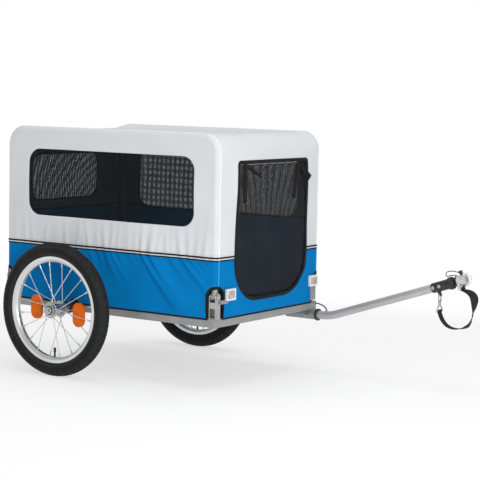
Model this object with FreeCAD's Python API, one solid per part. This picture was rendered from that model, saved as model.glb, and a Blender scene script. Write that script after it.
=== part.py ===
import FreeCAD, Part
import math
import os

V = FreeCAD.Vector
os.makedirs("parts", exist_ok=True)

# Driving sizes in millimetres. x = 0 is the axle line, y = 0 the middle, z = 0 the ground.
BODY_L = 790.0          # cabin length over the fabric
BODY_W = 550.0          # cabin width over the fabric
BODY_H = 549.0          # from the underside of the base to the roof
FRONT_REACH = 518.0     # axle to the front face of the cabin
CORNER_R = 56.0         # rounding of the roof, seen from the side
FAB = 2.0               # fabric thickness
RAIL = 25.0             # square base tube
RAIL_WALL = 1.8
AXLE_ABOVE_BASE = 14.0  # axle line above the underside of the base
TYRE_OD = 398.0         # 16 inch wheel
TYRE_W = 46.0
TYRE_H = 40.5           # tyre above the edge of the rim
RIM_W = 26.0
WHEEL_GAP = 64.5        # cabin side to the inner face of the tyre
SPOKES = 20
SPOKE_R = 1.1

# Folding hoops
TUBE_R = 9.0
TUBE_WALL = 1.5
PIVOT_ABOVE_RAIL = 62.0  # hinge of the right hoop
PIVOT_STEP = 22.0        # the left hoop hinges this much lower
HOOP_NEST = 20.0         # the left hoop is this much shorter at each end
HOOP_DROP = 19.0         # and this much lower at the top
HINGE_PIN_R = 4.0
FLANGE_T = 2.5

# Openings in the cover
DOOR_W = 380.0
DOOR_BELOW_ROOF = 83.0
DOOR_ABOVE_RAIL = 38.0
DOOR_R_LOW = 112.0
DOOR_R_TOP = 6.0
WIN_FRONT_IN = 82.0
WIN_REAR_IN = 89.0
WIN_BELOW_ROOF = 66.0
WIN_H = 201.0
WIN_R = 42.0
REAR_WIN_W = 314.0
REAR_WIN_BELOW_ROOF = 94.0
REAR_WIN_H = 140.0
ARCH_IN = 31.0           # corner cut-out beside each hoop bracket
ARCH_FRONT_IN = 39.0
ARCH_H = 86.0
ARCH_R = 22.0

# Drawbar and hitch
BAR_R = 12.5
BAR_WALL = 2.0
BAR_ANGLE = 18.5
BAR_KNEE = 57.0          # knee ahead of the cabin front
BAR_RISE = 434.0         # knee to the middle of the hitch ball
BAR_BEND_R = 160.0
REC_R = 16.0
REC_L = 109.0
BALL_R = 14.5
HEAD_R = 15.5
HEAD_END = 51.0          # front of the coupler head from the ball
HITCH_R = 10.0           # mouth that takes the towing tongue
HITCH_DEEP = 8.5
HITCH_PIN_R = 4.0
HITCH_PIN_A = 38.0       # hitch pin from the ball
LOCK_PIN_R = 4.0
STRAP_W = 25.0
STRAP_T = 2.0

# Clearances
RUN = 0.05               # radial gap of running fits
GAP = 0.3                # between faces of different moving pieces
SEAM = 0.5               # between fabric pieces that fold apart

# Derived positions
AXLE_Z = TYRE_OD / 2
RIM_OD = TYRE_OD - 2 * TYRE_H
RAIL_BOT = AXLE_Z - AXLE_ABOVE_BASE
RAIL_TOP = RAIL_BOT + RAIL
TOP = RAIL_BOT + BODY_H
XF = FRONT_REACH
XR = XF - BODY_L
HW = BODY_W / 2
RAIL_OUT = HW - FAB
RAIL_IN = RAIL_OUT - RAIL
HOOP_Y = HW - FAB - SEAM - TUBE_R
LEG_IN = FAB + SEAM + TUBE_R
PIVOT_R = RAIL_TOP + PIVOT_ABOVE_RAIL
PIVOT_L = PIVOT_R - PIVOT_STEP
HEM = RAIL_TOP - 3.0
WHEEL_Y = HW + WHEEL_GAP + TYRE_W / 2
DOOR_TOP = TOP - DOOR_BELOW_ROOF
DOOR_BOT = RAIL_TOP + DOOR_ABOVE_RAIL
WALL_TOP = TOP - CORNER_R
BAR_Y = RAIL_OUT - RAIL / 2
BAR_Z = RAIL_BOT - REC_R
KNEE_X = XF + BAR_KNEE
TILT = math.radians(BAR_ANGLE)
BALL_X = KNEE_X + BAR_RISE * math.cos(TILT)
BALL_Z = BAR_Z + BAR_RISE * math.sin(TILT)
STRAP_FRONT = BALL_X + HEAD_END + 25.0


def box(x0, x1, y0, y1, z0, z1):
    return Part.makeBox(x1 - x0, y1 - y0, z1 - z0, V(x0, y0, z0))


def rod(start, direction, radius, length):
    return Part.makeCylinder(radius, length, start, direction)


def mirrored(shape):
    return shape.mirror(V(0, 0, 0), V(0, 1, 0))


pieces = {}


def save(name, shape):
    pieces[name] = shape


def pair(name, left_shape):
    save("left_" + name, left_shape)
    save("right_" + name, mirrored(left_shape))


def rounded_wire(points, radii, closed=False):
    # Straight runs joined by tangent arcs, one radius for each corner
    count = len(points)
    ends = []
    edges = []
    arcs = []
    for i in range(count):
        p = points[i]
        if radii[i] <= 0:
            ends.append((p, p))
            arcs.append(None)
            continue
        u = (points[i - 1] - p).normalize()
        w = (points[(i + 1) % count] - p).normalize()
        half = u.getAngle(w) / 2
        reach = radii[i] / math.tan(half)
        mid_dir = (u + w).normalize()
        middle = p + mid_dir * (radii[i] / math.sin(half) - radii[i])
        a = p + u * reach
        b = p + w * reach
        ends.append((a, b))
        arcs.append(Part.Arc(a, middle, b).toShape())
    for i in range(count):
        if arcs[i] is not None:
            edges.append(arcs[i])
        if i == count - 1 and not closed:
            break
        a = ends[i][1]
        b = ends[(i + 1) % count][0]
        if a.distanceToPoint(b) > 1e-6:
            edges.append(Part.makeLine(a, b))
    return Part.Wire(edges)


def plate(points, radii, depth):
    return Part.Face(rounded_wire(points, radii, True)).extrude(depth)


def swept(points, radii, radius):
    wire = rounded_wire(points, radii)
    start = points[0]
    ring = Part.Wire(Part.makeCircle(radius, start, points[1] - points[0]))
    return wire.makePipeShell([ring], True, False)


# Base frame: closed square tubes, side rails full length, cross rails between them
def square_tube(x0, x1, y0, y1):
    t = RAIL_WALL
    outer = box(x0, x1, y0, y1, RAIL_BOT, RAIL_TOP)
    return outer.cut(box(x0 + t, x1 - t, y0 + t, y1 - t, RAIL_BOT + t, RAIL_TOP - t))


pair("rail", square_tube(XR + FAB, XF - FAB, RAIL_IN, RAIL_OUT))
save("front_rail", square_tube(XF - FAB - RAIL, XF - FAB, -RAIL_IN, RAIL_IN))
save("rear_rail", square_tube(XR + FAB, XR + FAB + RAIL, -RAIL_IN, RAIL_IN))
save("axle_tube", square_tube(-RAIL / 2, RAIL / 2, -RAIL_IN, RAIL_IN))
FLOOR_T = 3.0
floor_y = RAIL_IN + 2.0
save("floor_panel", box(XR + FAB + 2, XF - FAB - 2, -floor_y, floor_y, RAIL_TOP, RAIL_TOP + FLOOR_T))

# Rivet heads on the ends of the side rails
rivets = []
for side in (-1, 1):
    for x, way in ((XF - FAB, 1), (XR + FAB, -1)):
        for dz in (-5.0, 5.0):
            rivets.append(rod(V(x, side * BAR_Y, RAIL_BOT + RAIL / 2 + dz), V(way, 0, 0), 2.6, 1.3))
save("frame_rivets", Part.makeCompound(rivets))

# Hoop brackets: two flanges, a low inner web, an outer strap and a foot on the rail
BR_GAP = TUBE_R + GAP
BR_IN = HOOP_Y - TUBE_R - SEAM - FLANGE_T
BR_OUT = HW - GAP


def bracket(xc, pivot):
    mid = (BR_IN + BR_OUT) / 2
    round_r = (BR_OUT - BR_IN) / 2
    inner = xc - BR_GAP
    outer = xc + BR_GAP
    body = box(inner, outer, BR_IN, BR_IN + FLANGE_T, RAIL_TOP, pivot - TUBE_R - 2.0)
    body = body.fuse(box(inner, outer, BR_OUT - 2.0, BR_OUT, pivot - 32.0, pivot - 14.0))
    body = body.fuse(box(inner, outer, BR_IN, HOOP_Y + 5.0, RAIL_TOP, RAIL_TOP + FLANGE_T))
    for x in (inner - FLANGE_T, outer):
        body = body.fuse(box(x, x + FLANGE_T, BR_IN, BR_OUT, RAIL_TOP, pivot))
        body = body.fuse(rod(V(x, mid, pivot), V(1, 0, 0), round_r, FLANGE_T))
    hole = rod(V(xc - 40, HOOP_Y, pivot), V(1, 0, 0), HINGE_PIN_R + RUN, 80)
    return body.cut(hole).removeSplitter()


def hinge_pin(xc, pivot, way):
    half = BR_GAP + FLANGE_T
    pin = rod(V(xc - way * (half + 1.0), HOOP_Y, pivot), V(way, 0, 0), HINGE_PIN_R, 2 * half + 1.0)
    head = rod(V(xc + way * half, HOOP_Y, pivot), V(way, 0, 0), 7.0, 2.6)
    return pin.fuse(head).removeSplitter()


LEG_F_R = XF - LEG_IN
LEG_B_R = XR + LEG_IN
LEG_F_L = LEG_F_R - HOOP_NEST
LEG_B_L = LEG_B_R + HOOP_NEST
left_brackets = [bracket(LEG_F_L, PIVOT_L), bracket(LEG_B_L, PIVOT_L)]
right_brackets = [mirrored(bracket(LEG_F_R, PIVOT_R)), mirrored(bracket(LEG_B_R, PIVOT_R))]
save("left_brackets", Part.makeCompound(left_brackets))
save("right_brackets", Part.makeCompound(right_brackets))
pins = [hinge_pin(LEG_F_L, PIVOT_L, 1), hinge_pin(LEG_B_L, PIVOT_L, -1)]
pins.append(mirrored(hinge_pin(LEG_F_R, PIVOT_R, 1)))
pins.append(mirrored(hinge_pin(LEG_B_R, PIVOT_R, -1)))
save("hinge_pins", Part.makeCompound(pins))

# Hoops: a bent tube with a solid eye at the foot of each leg
EYE_STEP = 0.4


def hoop(front, back, pivot, top):
    bend = CORNER_R - LEG_IN
    low = pivot + TUBE_R + 4.0
    radii = [0, bend, bend, 0]

    def path(z):
        return [V(front, HOOP_Y, z), V(front, HOOP_Y, top), V(back, HOOP_Y, top), V(back, HOOP_Y, z)]

    tube = swept(path(pivot), radii, TUBE_R)
    for x in (front, back):
        tube = tube.fuse(rod(V(x - TUBE_R, HOOP_Y, pivot), V(1, 0, 0), TUBE_R - EYE_STEP, 2 * TUBE_R))
    tube = tube.cut(swept(path(low), radii, TUBE_R - TUBE_WALL))
    for x in (front, back):
        tube = tube.cut(rod(V(x - 30, HOOP_Y, pivot), V(1, 0, 0), HINGE_PIN_R + RUN, 60))
    return tube


HOOP_TOP = TOP - LEG_IN
save("left_hoop", hoop(LEG_F_L, LEG_B_L, PIVOT_L, HOOP_TOP - HOOP_DROP))
save("right_hoop", mirrored(hoop(LEG_F_R, LEG_B_R, PIVOT_R, HOOP_TOP)))


# Cover: side panels on the hoops, roof, front and rear wall and skirts on the base
def side_face(inset, bottom, y, depth):
    r = CORNER_R - inset
    pts = [V(XR + inset, y, bottom), V(XR + inset, y, TOP - inset)]
    pts += [V(XF - inset, y, TOP - inset), V(XF - inset, y, bottom)]
    return plate(pts, [0, r, r, 0], V(0, depth, 0))


def side_arches(nest):
    top = RAIL_TOP + ARCH_H
    low = HEM - 20
    front = [V(XF + 20, 0, low), V(XF + 20, 0, top), V(XF - ARCH_IN - nest, 0, top)]
    front.append(V(XF - ARCH_IN - nest, 0, low))
    back = [V(XR - 20, 0, low), V(XR - 20, 0, top), V(XR + ARCH_IN + nest, 0, top)]
    back.append(V(XR + ARCH_IN + nest, 0, low))
    cut = plate(front, [0, 0, ARCH_R, 0], V(0, HW + 10, 0))
    return cut.fuse(plate(back, [0, 0, ARCH_R, 0], V(0, HW + 10, 0)))


def window_plate(y, depth):
    x0 = XR + WIN_REAR_IN
    x1 = XF - WIN_FRONT_IN
    z1 = TOP - WIN_BELOW_ROOF
    z0 = z1 - WIN_H
    pts = [V(x0, y, z0), V(x1, y, z0), V(x1, y, z1), V(x0, y, z1)]
    return plate(pts, [WIN_R] * 4, V(0, depth, 0))


def side_panel(pivot, nest):
    panel = side_face(FAB + SEAM, pivot + SEAM, HW - FAB, FAB)
    return panel.cut(side_arches(nest)).cut(window_plate(HW - FAB - 5, FAB + 10))


def skirt(pivot, nest):
    inset = FAB + SEAM
    piece = box(XR + inset, XF - inset, HW - FAB, HW, HEM, pivot)
    piece = piece.cut(side_arches(nest))
    return piece.cut(rod(V(0, HW - 20, AXLE_Z), V(0, 1, 0), SOCKET_R + 1.0, 40))


SOCKET_R = 17.0
MESH_T = 1.0
mesh_y = HW - FAB / 2 - MESH_T / 2
save("left_side_panel", side_panel(PIVOT_L, HOOP_NEST))
save("right_side_panel", mirrored(side_panel(PIVOT_R, 0)))
pair("side_window", window_plate(mesh_y, MESH_T))
save("left_skirt", skirt(PIVOT_L, HOOP_NEST))
save("right_skirt", mirrored(skirt(PIVOT_R, 0)))

roof = side_face(0, RAIL_TOP, -HW, BODY_W).cut(side_face(FAB, RAIL_TOP - 50, -HW - 5, BODY_W + 10))
save("roof", roof.common(box(XR - 5, XF + 5, -HW, HW, WALL_TOP, TOP + 5)))


def wall_arch(side):
    top = RAIL_TOP + ARCH_H
    pts = [V(XR - 30, side * (HW + 10), HEM - 20), V(XR - 30, side * (HW + 10), top)]
    pts.append(V(XR - 30, side * (HW - ARCH_FRONT_IN), top))
    pts.append(V(XR - 30, side * (HW - ARCH_FRONT_IN), HEM - 20))
    return plate(pts, [0, 0, ARCH_R, 0], V(BODY_L + 60, 0, 0))


def end_wall(x):
    wall = box(x, x + FAB, -HW, HW, HEM, WALL_TOP)
    return wall.cut(wall_arch(-1)).cut(wall_arch(1))


def door_plate(x, depth, shrink):
    y = DOOR_W / 2 - shrink
    z0 = DOOR_BOT + shrink
    z1 = DOOR_TOP - shrink
    pts = [V(x, -y, z0), V(x, y, z0), V(x, y, z1), V(x, -y, z1)]
    low = DOOR_R_LOW - shrink
    high = DOOR_R_TOP - shrink
    return plate(pts, [low, low, high, high], V(depth, 0, 0))


def rear_window_plate(x, depth):
    y = REAR_WIN_W / 2
    z1 = TOP - REAR_WIN_BELOW_ROOF
    z0 = z1 - REAR_WIN_H
    pts = [V(x, -y, z0), V(x, y, z0), V(x, y, z1), V(x, -y, z1)]
    return plate(pts, [35.0] * 4, V(depth, 0, 0))


DOOR_T = 1.5
DOOR_EDGE = 1.0
front_wall = end_wall(XF - FAB).cut(door_plate(XF - 20, 40, 0))
save("front_wall", front_wall)
save("rear_wall", end_wall(XR).cut(rear_window_plate(XR - 20, 40)))
save("rear_window", rear_window_plate(XR + FAB / 2 - MESH_T / 2, MESH_T))

# Front door of mesh with two roll-up straps sewn to its top edge
save("front_door", door_plate(XF - FAB, DOOR_T, DOOR_EDGE))
straps = []
DOOR_STRAP_L = 118.0
DOOR_STRAP_W = 22.0
for y in (-0.37 * DOOR_W, 0.37 * DOOR_W):
    x0 = XF - FAB + DOOR_T
    z1 = DOOR_TOP - DOOR_EDGE - 2
    straps.append(box(x0, x0 + 1.6, y - DOOR_STRAP_W / 2, y + DOOR_STRAP_W / 2, z1 - DOOR_STRAP_L, z1))
save("roll_up_straps", Part.makeCompound(straps))


# Reflectors on plates screwed to the hoop brackets
REFL_W = 45.0
REFL_H = 34.0
REFL_DEEP = 7.0
REFL_SIDE = 17.0         # from the side of the cabin
REFL_IN = 41.0           # the right front one stands further in
REFL_ABOVE = 50.0        # from the top of the rail
REFL_CORNER = 3.0
PLATE_T = 4.0
PLATE_IN = 3.0
ARM_W = 30.0
ARM_OVER = 6.0
ARM_DROP = 34.0


def reflector(x_plate, x_flange, way, side, pivot, inset):
    y1 = HW - inset
    y0 = y1 - REFL_W
    z0 = RAIL_TOP + REFL_ABOVE
    z1 = z0 + REFL_H
    back = -PLATE_T + GAP
    lens = box(0, REFL_DEEP, y0, y1, z0, z1)
    lens = lens.makeFillet(REFL_CORNER, [e for e in lens.Edges if abs(e.tangentAt(e.FirstParameter).x) > 0.9])
    arm_low = min(z0 - 10, pivot - ARM_DROP)
    arm_y = BR_IN + ARM_OVER
    arm = box(back, 0, y1 - ARM_W, arm_y, arm_low, z0 + PLATE_IN)
    if inset > REFL_SIDE:
        arm = box(back, 0, y1 - ARM_W / 2, arm_y, z0 - 8.0, z0 + PLATE_IN)
    plate_back = box(back, 0, y0 + PLATE_IN, y1 - PLATE_IN, z0 + PLATE_IN, z1 - PLATE_IN)
    piece = lens.fuse(plate_back).fuse(arm)
    deep = abs(x_plate - x_flange)
    if deep > 1:
        piece = piece.fuse(box(back - deep, 0, BR_IN + 1, arm_y, arm_low, pivot - TUBE_R))
    if way < 0:
        piece = piece.mirror(V(0, 0, 0), V(1, 0, 0))
    piece.translate(V(x_plate + way * PLATE_T, 0, 0))
    return mirrored(piece) if side < 0 else piece


front_refl = [reflector(XF, XF, 1, -1, PIVOT_R, REFL_IN)]
front_refl.append(reflector(XF, LEG_F_L + LEG_IN, 1, 1, PIVOT_L, REFL_SIDE))
rear_refl = [reflector(XR, XR, -1, -1, PIVOT_R, REFL_SIDE)]
rear_refl.append(reflector(XR, LEG_B_L - LEG_IN, -1, 1, PIVOT_L, REFL_SIDE))
save("front_reflectors", Part.makeCompound(front_refl))
save("rear_reflectors", Part.makeCompound(rear_refl))

# Axle sockets on the side rails and the push-button axles
SOCKET_L = 30.0
SOCKET_END = RAIL_OUT + SOCKET_L
HUB_HALF = 28.0
AXLE_R = 6.0
CAP_T = 3.2
CAP_Y = WHEEL_Y + HUB_HALF + GAP
BUTTON_R = 4.0
BUTTON_TRAVEL = 4.0
hub_axis = V(0, 1, 0)


def on_axle(y):
    return V(0, y, AXLE_Z)


socket = rod(on_axle(RAIL_OUT), hub_axis, SOCKET_R, SOCKET_L)
socket = socket.fuse(box(-30, 30, RAIL_OUT, RAIL_OUT + 4.0, RAIL_BOT + 1, HEM - 1))
socket = socket.cut(rod(on_axle(RAIL_OUT + 3.0), hub_axis, AXLE_R + RUN, SOCKET_L)).removeSplitter()
pair("axle_socket", socket)

axle = rod(on_axle(RAIL_OUT + 4.0), hub_axis, AXLE_R, CAP_Y + CAP_T - RAIL_OUT - 4.0)
axle = axle.fuse(rod(on_axle(SOCKET_END), hub_axis, 9.0, WHEEL_Y - HUB_HALF - GAP - SOCKET_END))
axle = axle.fuse(rod(on_axle(CAP_Y), hub_axis, 11.0, CAP_T))
button_seat = CAP_Y + CAP_T - 14.0
axle = axle.cut(rod(on_axle(button_seat), hub_axis, BUTTON_R + RUN, 20)).removeSplitter()
pair("axle", axle)
pair("release_button", rod(on_axle(button_seat + BUTTON_TRAVEL + 1), hub_axis, BUTTON_R, 14.0))

# Wheels, built on the left and mirrored
HUB_R = 17.0
FLANGE_R = 24.5
FLANGE_Y = 21.0
BEARING_R = 14.0
BEARING_W = 8.0
RIM_R = RIM_OD / 2
BED_R = RIM_R - 6.5
RIM_IN = RIM_R - 16.0
TYRE_R = TYRE_OD / 2


def turned(profile):
    # Turns a list of (offset, radius) corners about the axle line
    pts = [V(0, WHEEL_Y + y, AXLE_Z + r) for y, r in profile]
    face = Part.Face(Part.makePolygon(pts + [pts[0]]))
    return face.revolve(on_axle(0), hub_axis, 360)


def curve(profile):
    line = Part.BSplineCurve()
    line.interpolate([V(0, WHEEL_Y + y, AXLE_Z + r) for y, r in profile])
    return line.toShape()


half = RIM_W / 2
rim = turned([(-half, RIM_R), (-half, BED_R - 2), (-0.7 * half, RIM_IN + 3), (-0.45 * half, RIM_IN),
              (0.45 * half, RIM_IN), (0.7 * half, RIM_IN + 3), (half, BED_R - 2), (half, RIM_R),
              (half - 2, RIM_R), (half - 2, BED_R), (-half + 2, BED_R), (-half + 2, RIM_R)])
rim = rim.cut(turned([(-half + 3.4, BED_R - 2), (-0.5 * half, RIM_IN + 2), (0.5 * half, RIM_IN + 2),
                      (half - 3.4, BED_R - 2)]))
VALVE_R = 3.0
rim = rim.cut(rod(on_axle(WHEEL_Y), V(0, 0, -1), VALVE_R + 0.3, RIM_R))
pair("rim", rim)

# Tyre: a hollow casing whose beads sit between the rim flanges
bead = half - 2.0
tw = TYRE_W / 2
belly = TYRE_R - 0.48 * (TYRE_R - BED_R)
outer = [(-bead, BED_R), (-bead, RIM_R + 1.0), (-0.88 * tw, belly - 9), (-tw, belly), (-0.9 * tw, belly + 10),
         (-0.55 * tw, TYRE_R - 3.2), (0, TYRE_R), (0.55 * tw, TYRE_R - 3.2), (0.9 * tw, belly + 10),
         (tw, belly), (0.88 * tw, belly - 9), (bead, RIM_R + 1.0), (bead, BED_R)]
wall = 3.2
inner = [(bead - wall, BED_R), (bead - wall, RIM_R + 1.5), (0.88 * tw - wall, belly - 8), (tw - wall, belly),
         (0.9 * tw - wall, belly + 8), (0.5 * tw, TYRE_R - 8.5), (0, TYRE_R - 5.5), (-0.5 * tw, TYRE_R - 8.5),
         (-0.9 * tw + wall, belly + 8), (-tw + wall, belly), (-0.88 * tw + wall, belly - 8),
         (-bead + wall, RIM_R + 1.5), (-bead + wall, BED_R)]


def line_between(a, b):
    first = V(0, WHEEL_Y + a[0], AXLE_Z + a[1])
    return Part.makeLine(first, V(0, WHEEL_Y + b[0], AXLE_Z + b[1]))


edges = [line_between(outer[0], outer[1]), curve(outer[1:-1]), line_between(outer[-2], outer[-1])]
edges += [line_between(outer[-1], inner[0]), line_between(inner[0], inner[1]), curve(inner[1:-1])]
edges += [line_between(inner[-2], inner[-1]), line_between(inner[-1], outer[0])]
casing = Part.Face(Part.Wire(edges)).revolve(on_axle(0), hub_axis, 360)
for y in (-0.3 * tw, 0, 0.3 * tw):
    groove_r = TYRE_R - (3.6 if abs(y) > 1 else 2.2)
    groove = turned([(y - 1.2, groove_r), (y - 1.2, TYRE_R + 5), (y + 1.2, TYRE_R + 5), (y + 1.2, groove_r)])
    casing = casing.cut(groove)
pair("tyre", casing)

# Inner tube with its valve, which comes out through the rim
tube_r = 0.62 * tw
ring = Part.makeTorus(belly, tube_r, on_axle(WHEEL_Y), hub_axis)
ring = ring.cut(Part.makeTorus(belly, tube_r - 1.5, on_axle(WHEEL_Y), hub_axis))
stem_top = belly - tube_r + 0.8
stem = rod(V(0, WHEEL_Y, AXLE_Z - stem_top), V(0, 0, 1), VALVE_R, stem_top - RIM_IN + 22)
cap = rod(V(0, WHEEL_Y, AXLE_Z - RIM_IN + 16), V(0, 0, 1), VALVE_R + 1.0, 12)
pair("inner_tube", ring.fuse(stem).fuse(cap).removeSplitter())

# Hub shell on two bearings
hub = turned([(-HUB_HALF, BEARING_R + 3), (-FLANGE_Y - 1.5, HUB_R), (-FLANGE_Y - 1.5, FLANGE_R),
              (-FLANGE_Y + 1.5, FLANGE_R), (-FLANGE_Y + 1.5, HUB_R), (FLANGE_Y - 1.5, HUB_R),
              (FLANGE_Y - 1.5, FLANGE_R), (FLANGE_Y + 1.5, FLANGE_R), (FLANGE_Y + 1.5, HUB_R),
              (HUB_HALF, BEARING_R + 3), (HUB_HALF, BEARING_R), (HUB_HALF - BEARING_W, BEARING_R),
              (HUB_HALF - BEARING_W, AXLE_R + 3), (-HUB_HALF + BEARING_W, AXLE_R + 3),
              (-HUB_HALF + BEARING_W, BEARING_R), (-HUB_HALF, BEARING_R)])
pair("hub_shell", hub)
bearings = []
for y in (-HUB_HALF, HUB_HALF - BEARING_W):
    bearing = rod(on_axle(WHEEL_Y + y), hub_axis, BEARING_R, BEARING_W)
    bearings.append(bearing.cut(rod(on_axle(0), hub_axis, AXLE_R + RUN, 2 * WHEEL_Y)))
pair("hub_bearings", Part.makeCompound(bearings))

# Spokes: alternate sides of the hub, each leaning round the hub to the rim
LEAN = math.radians(24.0)
SPOKE_CLEAR = 0.7        # outer spokes pass this far over the edge of the flange


def spoke_ends(i):
    angle = 2 * math.pi * (i + 0.5) / SPOKES
    side = 1 if i % 2 else -1
    lean = LEAN if (i // 2) % 2 else -LEAN
    face = 1.5 + SPOKE_R + 0.05
    y0 = side * (FLANGE_Y + (face + SPOKE_CLEAR if lean > 0 else -face))
    r0 = FLANGE_R - 3.0
    r1 = RIM_IN - SPOKE_CLEAR
    a = V(r0 * math.cos(angle + lean), WHEEL_Y + y0, AXLE_Z + r0 * math.sin(angle + lean))
    b = V(r1 * math.cos(angle), WHEEL_Y + 0.12 * y0, AXLE_Z + r1 * math.sin(angle))
    return a, b


spokes = []
for i in range(SPOKES):
    a, b = spoke_ends(i)
    way = (b - a).normalize()
    spoke = rod(a, way, SPOKE_R, (b - a).Length)
    spokes.append(spoke.fuse(rod(b - way * 12, way, 2.2, 12)).removeSplitter())
pair("spokes", Part.makeCompound(spokes))

# Two oval reflectors between the spokes, each held by two clips
AMBER_REAR = 71.5         # middle of each reflector from the inside of the rim
AMBER_FRONT = 51.5
AMBER_RISE = 2.5          # the rear one stands this much above the axle
AMBER_FALL = 7.5          # and the front one this much below it
AMBER_W = 42.0
AMBER_H = 72.0
AMBER_T = 7.0
CLIP_R = 3.0
lenses = []
for way, inset, mid_z in ((-1, AMBER_REAR, AXLE_Z + AMBER_RISE), (1, AMBER_FRONT, AXLE_Z - AMBER_FALL)):
    reach = RIM_IN - inset
    back_y = WHEEL_Y - AMBER_T / 2
    x0 = way * reach - AMBER_W / 2
    x1 = way * reach + AMBER_W / 2
    z0 = mid_z - AMBER_H / 2
    z1 = mid_z + AMBER_H / 2
    pts = [V(x0, back_y, z0), V(x1, back_y, z0), V(x1, back_y, z1), V(x0, back_y, z1)]
    lens = plate(pts, [AMBER_W / 2 - 0.5] * 4, V(0, AMBER_T, 0))
    for i in range(SPOKES):
        a, b = spoke_ends(i)
        share = (reach - a.x * way) / ((b.x - a.x) * way) if b.x * way > reach else -1
        p = a + (b - a) * share
        if share < 0 or abs(p.z - mid_z) > AMBER_H / 2 - 2 * CLIP_R:
            continue
        side = 1 if p.y > WHEEL_Y else -1
        clip_l = abs(p.y - WHEEL_Y) - SPOKE_R - SPOKE_CLEAR - AMBER_T / 2
        start = V(p.x, WHEEL_Y + side * AMBER_T / 2, p.z)
        lens = lens.fuse(rod(start, V(0, side, 0), CLIP_R, clip_l))
    lenses.append(lens)
pair("wheel_reflectors", Part.makeCompound(lenses))

# Drawbar receiver under the left rail, its collar, the bar and the lock pin across them
forward = V(1, 0, 0)
across = V(0, 1, 0)
REC_BACK = XF + 10 - REC_L
receiver = rod(V(REC_BACK, BAR_Y, BAR_Z), forward, REC_R, REC_L)
receiver = receiver.fuse(box(REC_BACK + 6, XF - FAB, BAR_Y - 9, BAR_Y + 9, BAR_Z, RAIL_BOT))
receiver = receiver.cut(rod(V(REC_BACK - 5, BAR_Y, BAR_Z), forward, BAR_R + RUN, REC_L + 10))
LOCK_X = XF - 14.0
lock_hole = rod(V(LOCK_X, BAR_Y - 3 * REC_R, BAR_Z), across, LOCK_PIN_R + RUN, 6 * REC_R)
save("drawbar_receiver", receiver.cut(lock_hole).removeSplitter())
collar = rod(V(XF + 10, BAR_Y, BAR_Z), forward, REC_R + 2.5, 6.0)
save("receiver_collar", collar.cut(rod(V(XF, BAR_Y, BAR_Z), forward, BAR_R + RUN, 30)))

bar_dir = V(math.cos(TILT), 0, math.sin(TILT))
up_dir = V(-math.sin(TILT), 0, math.cos(TILT))
BALL = V(BALL_X, BAR_Y, BALL_Z)


def hitch(a, y, b):
    return BALL + bar_dir * a + up_dir * b + V(0, y, 0)


SLEEVE_BACK = -63.0
BAR_END = -22.0
BOLTS_A = (-55.0, -34.0)
bar_path = [V(REC_BACK + 8, BAR_Y, BAR_Z), V(KNEE_X, BAR_Y, BAR_Z), hitch(BAR_END, 0, 0)]
bar = swept(bar_path, [0, BAR_BEND_R, 0], BAR_R)
bar = bar.cut(swept(bar_path, [0, BAR_BEND_R, 0], BAR_R - BAR_WALL)).cut(lock_hole)
BOLT_R = 3.0
bolt_holes = [rod(hitch(a, -40, 0), across, BOLT_R, 80) for a in BOLTS_A]
for hole in bolt_holes:
    bar = bar.cut(hole)
save("drawbar", bar)
LOCK_TRAVEL = 45.0
lock_pin = rod(V(LOCK_X, BAR_Y - 38, BAR_Z), across, LOCK_PIN_R, 38 + REC_R + 8)
lock_pin = lock_pin.fuse(rod(V(LOCK_X, BAR_Y + REC_R + GAP, BAR_Z), across, 9.0, 8.0)).removeSplitter()
save("lock_pin", lock_pin)
TETHER_R = 2.0
tether = [V(XF - FAB + TETHER_R + 1.5, BAR_Y + 3, RAIL_TOP - 6), V(XF + 24, BAR_Y + 3, RAIL_TOP - 8),
          V(XF + 36, BAR_Y + 12, BAR_Z + REC_R + 4), V(XF + 30, BAR_Y + 26, BAR_Z + 8),
          V(LOCK_X + 14, BAR_Y + 36, BAR_Z + 2), V(LOCK_X, BAR_Y + REC_R + 10.0, BAR_Z)]


def cord_radii(points):
    radii = [0]
    for i in range(1, len(points) - 1):
        u = points[i - 1] - points[i]
        w = points[i + 1] - points[i]
        short = min(u.Length, w.Length)
        radii.append(0.45 * short * math.tan(u.getAngle(w) / 2))
    return radii + [0]


def cord(name, points, radius):
    radii = cord_radii(points)
    wire = rounded_wire(points, radii)
    solid = swept(points, radii, radius)
    print(name, "length", round(wire.Length, 1), "bends", [round(r, 1) for r in radii[1:-1]],
          "volume ratio", round(solid.Volume / (wire.Length * math.pi * radius ** 2), 3))
    save(name, solid)


cord("pin_tether", tether, TETHER_R)


# Hitch: a black socket on the bar, a ball-ended coupler head and its pin
def local(shape):
    shape.rotate(V(0, 0, 0), V(0, 1, 0), -BAR_ANGLE)
    shape.translate(BALL)
    return shape


SOCKET_OUT = BALL_R + 4.5
SOCKET_LIP = 6.5
SLEEVE_WALL = 2.5
BALL_GAP = 0.4
EYE_A = -46.0
EYE_B = -22.0


def on_sphere(radius, a):
    return V(a, 0, math.sqrt(radius ** 2 - a ** 2))


def turned_wire(runs):
    # Each run is two points for a line or three for an arc
    edges = []
    for run in runs:
        shape = Part.makeLine(*run) if len(run) == 2 else Part.Arc(*run).toShape()
        edges.append(shape)
    return Part.Face(Part.Wire(edges)).revolve(V(0, 0, 0), forward, 360)


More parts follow.
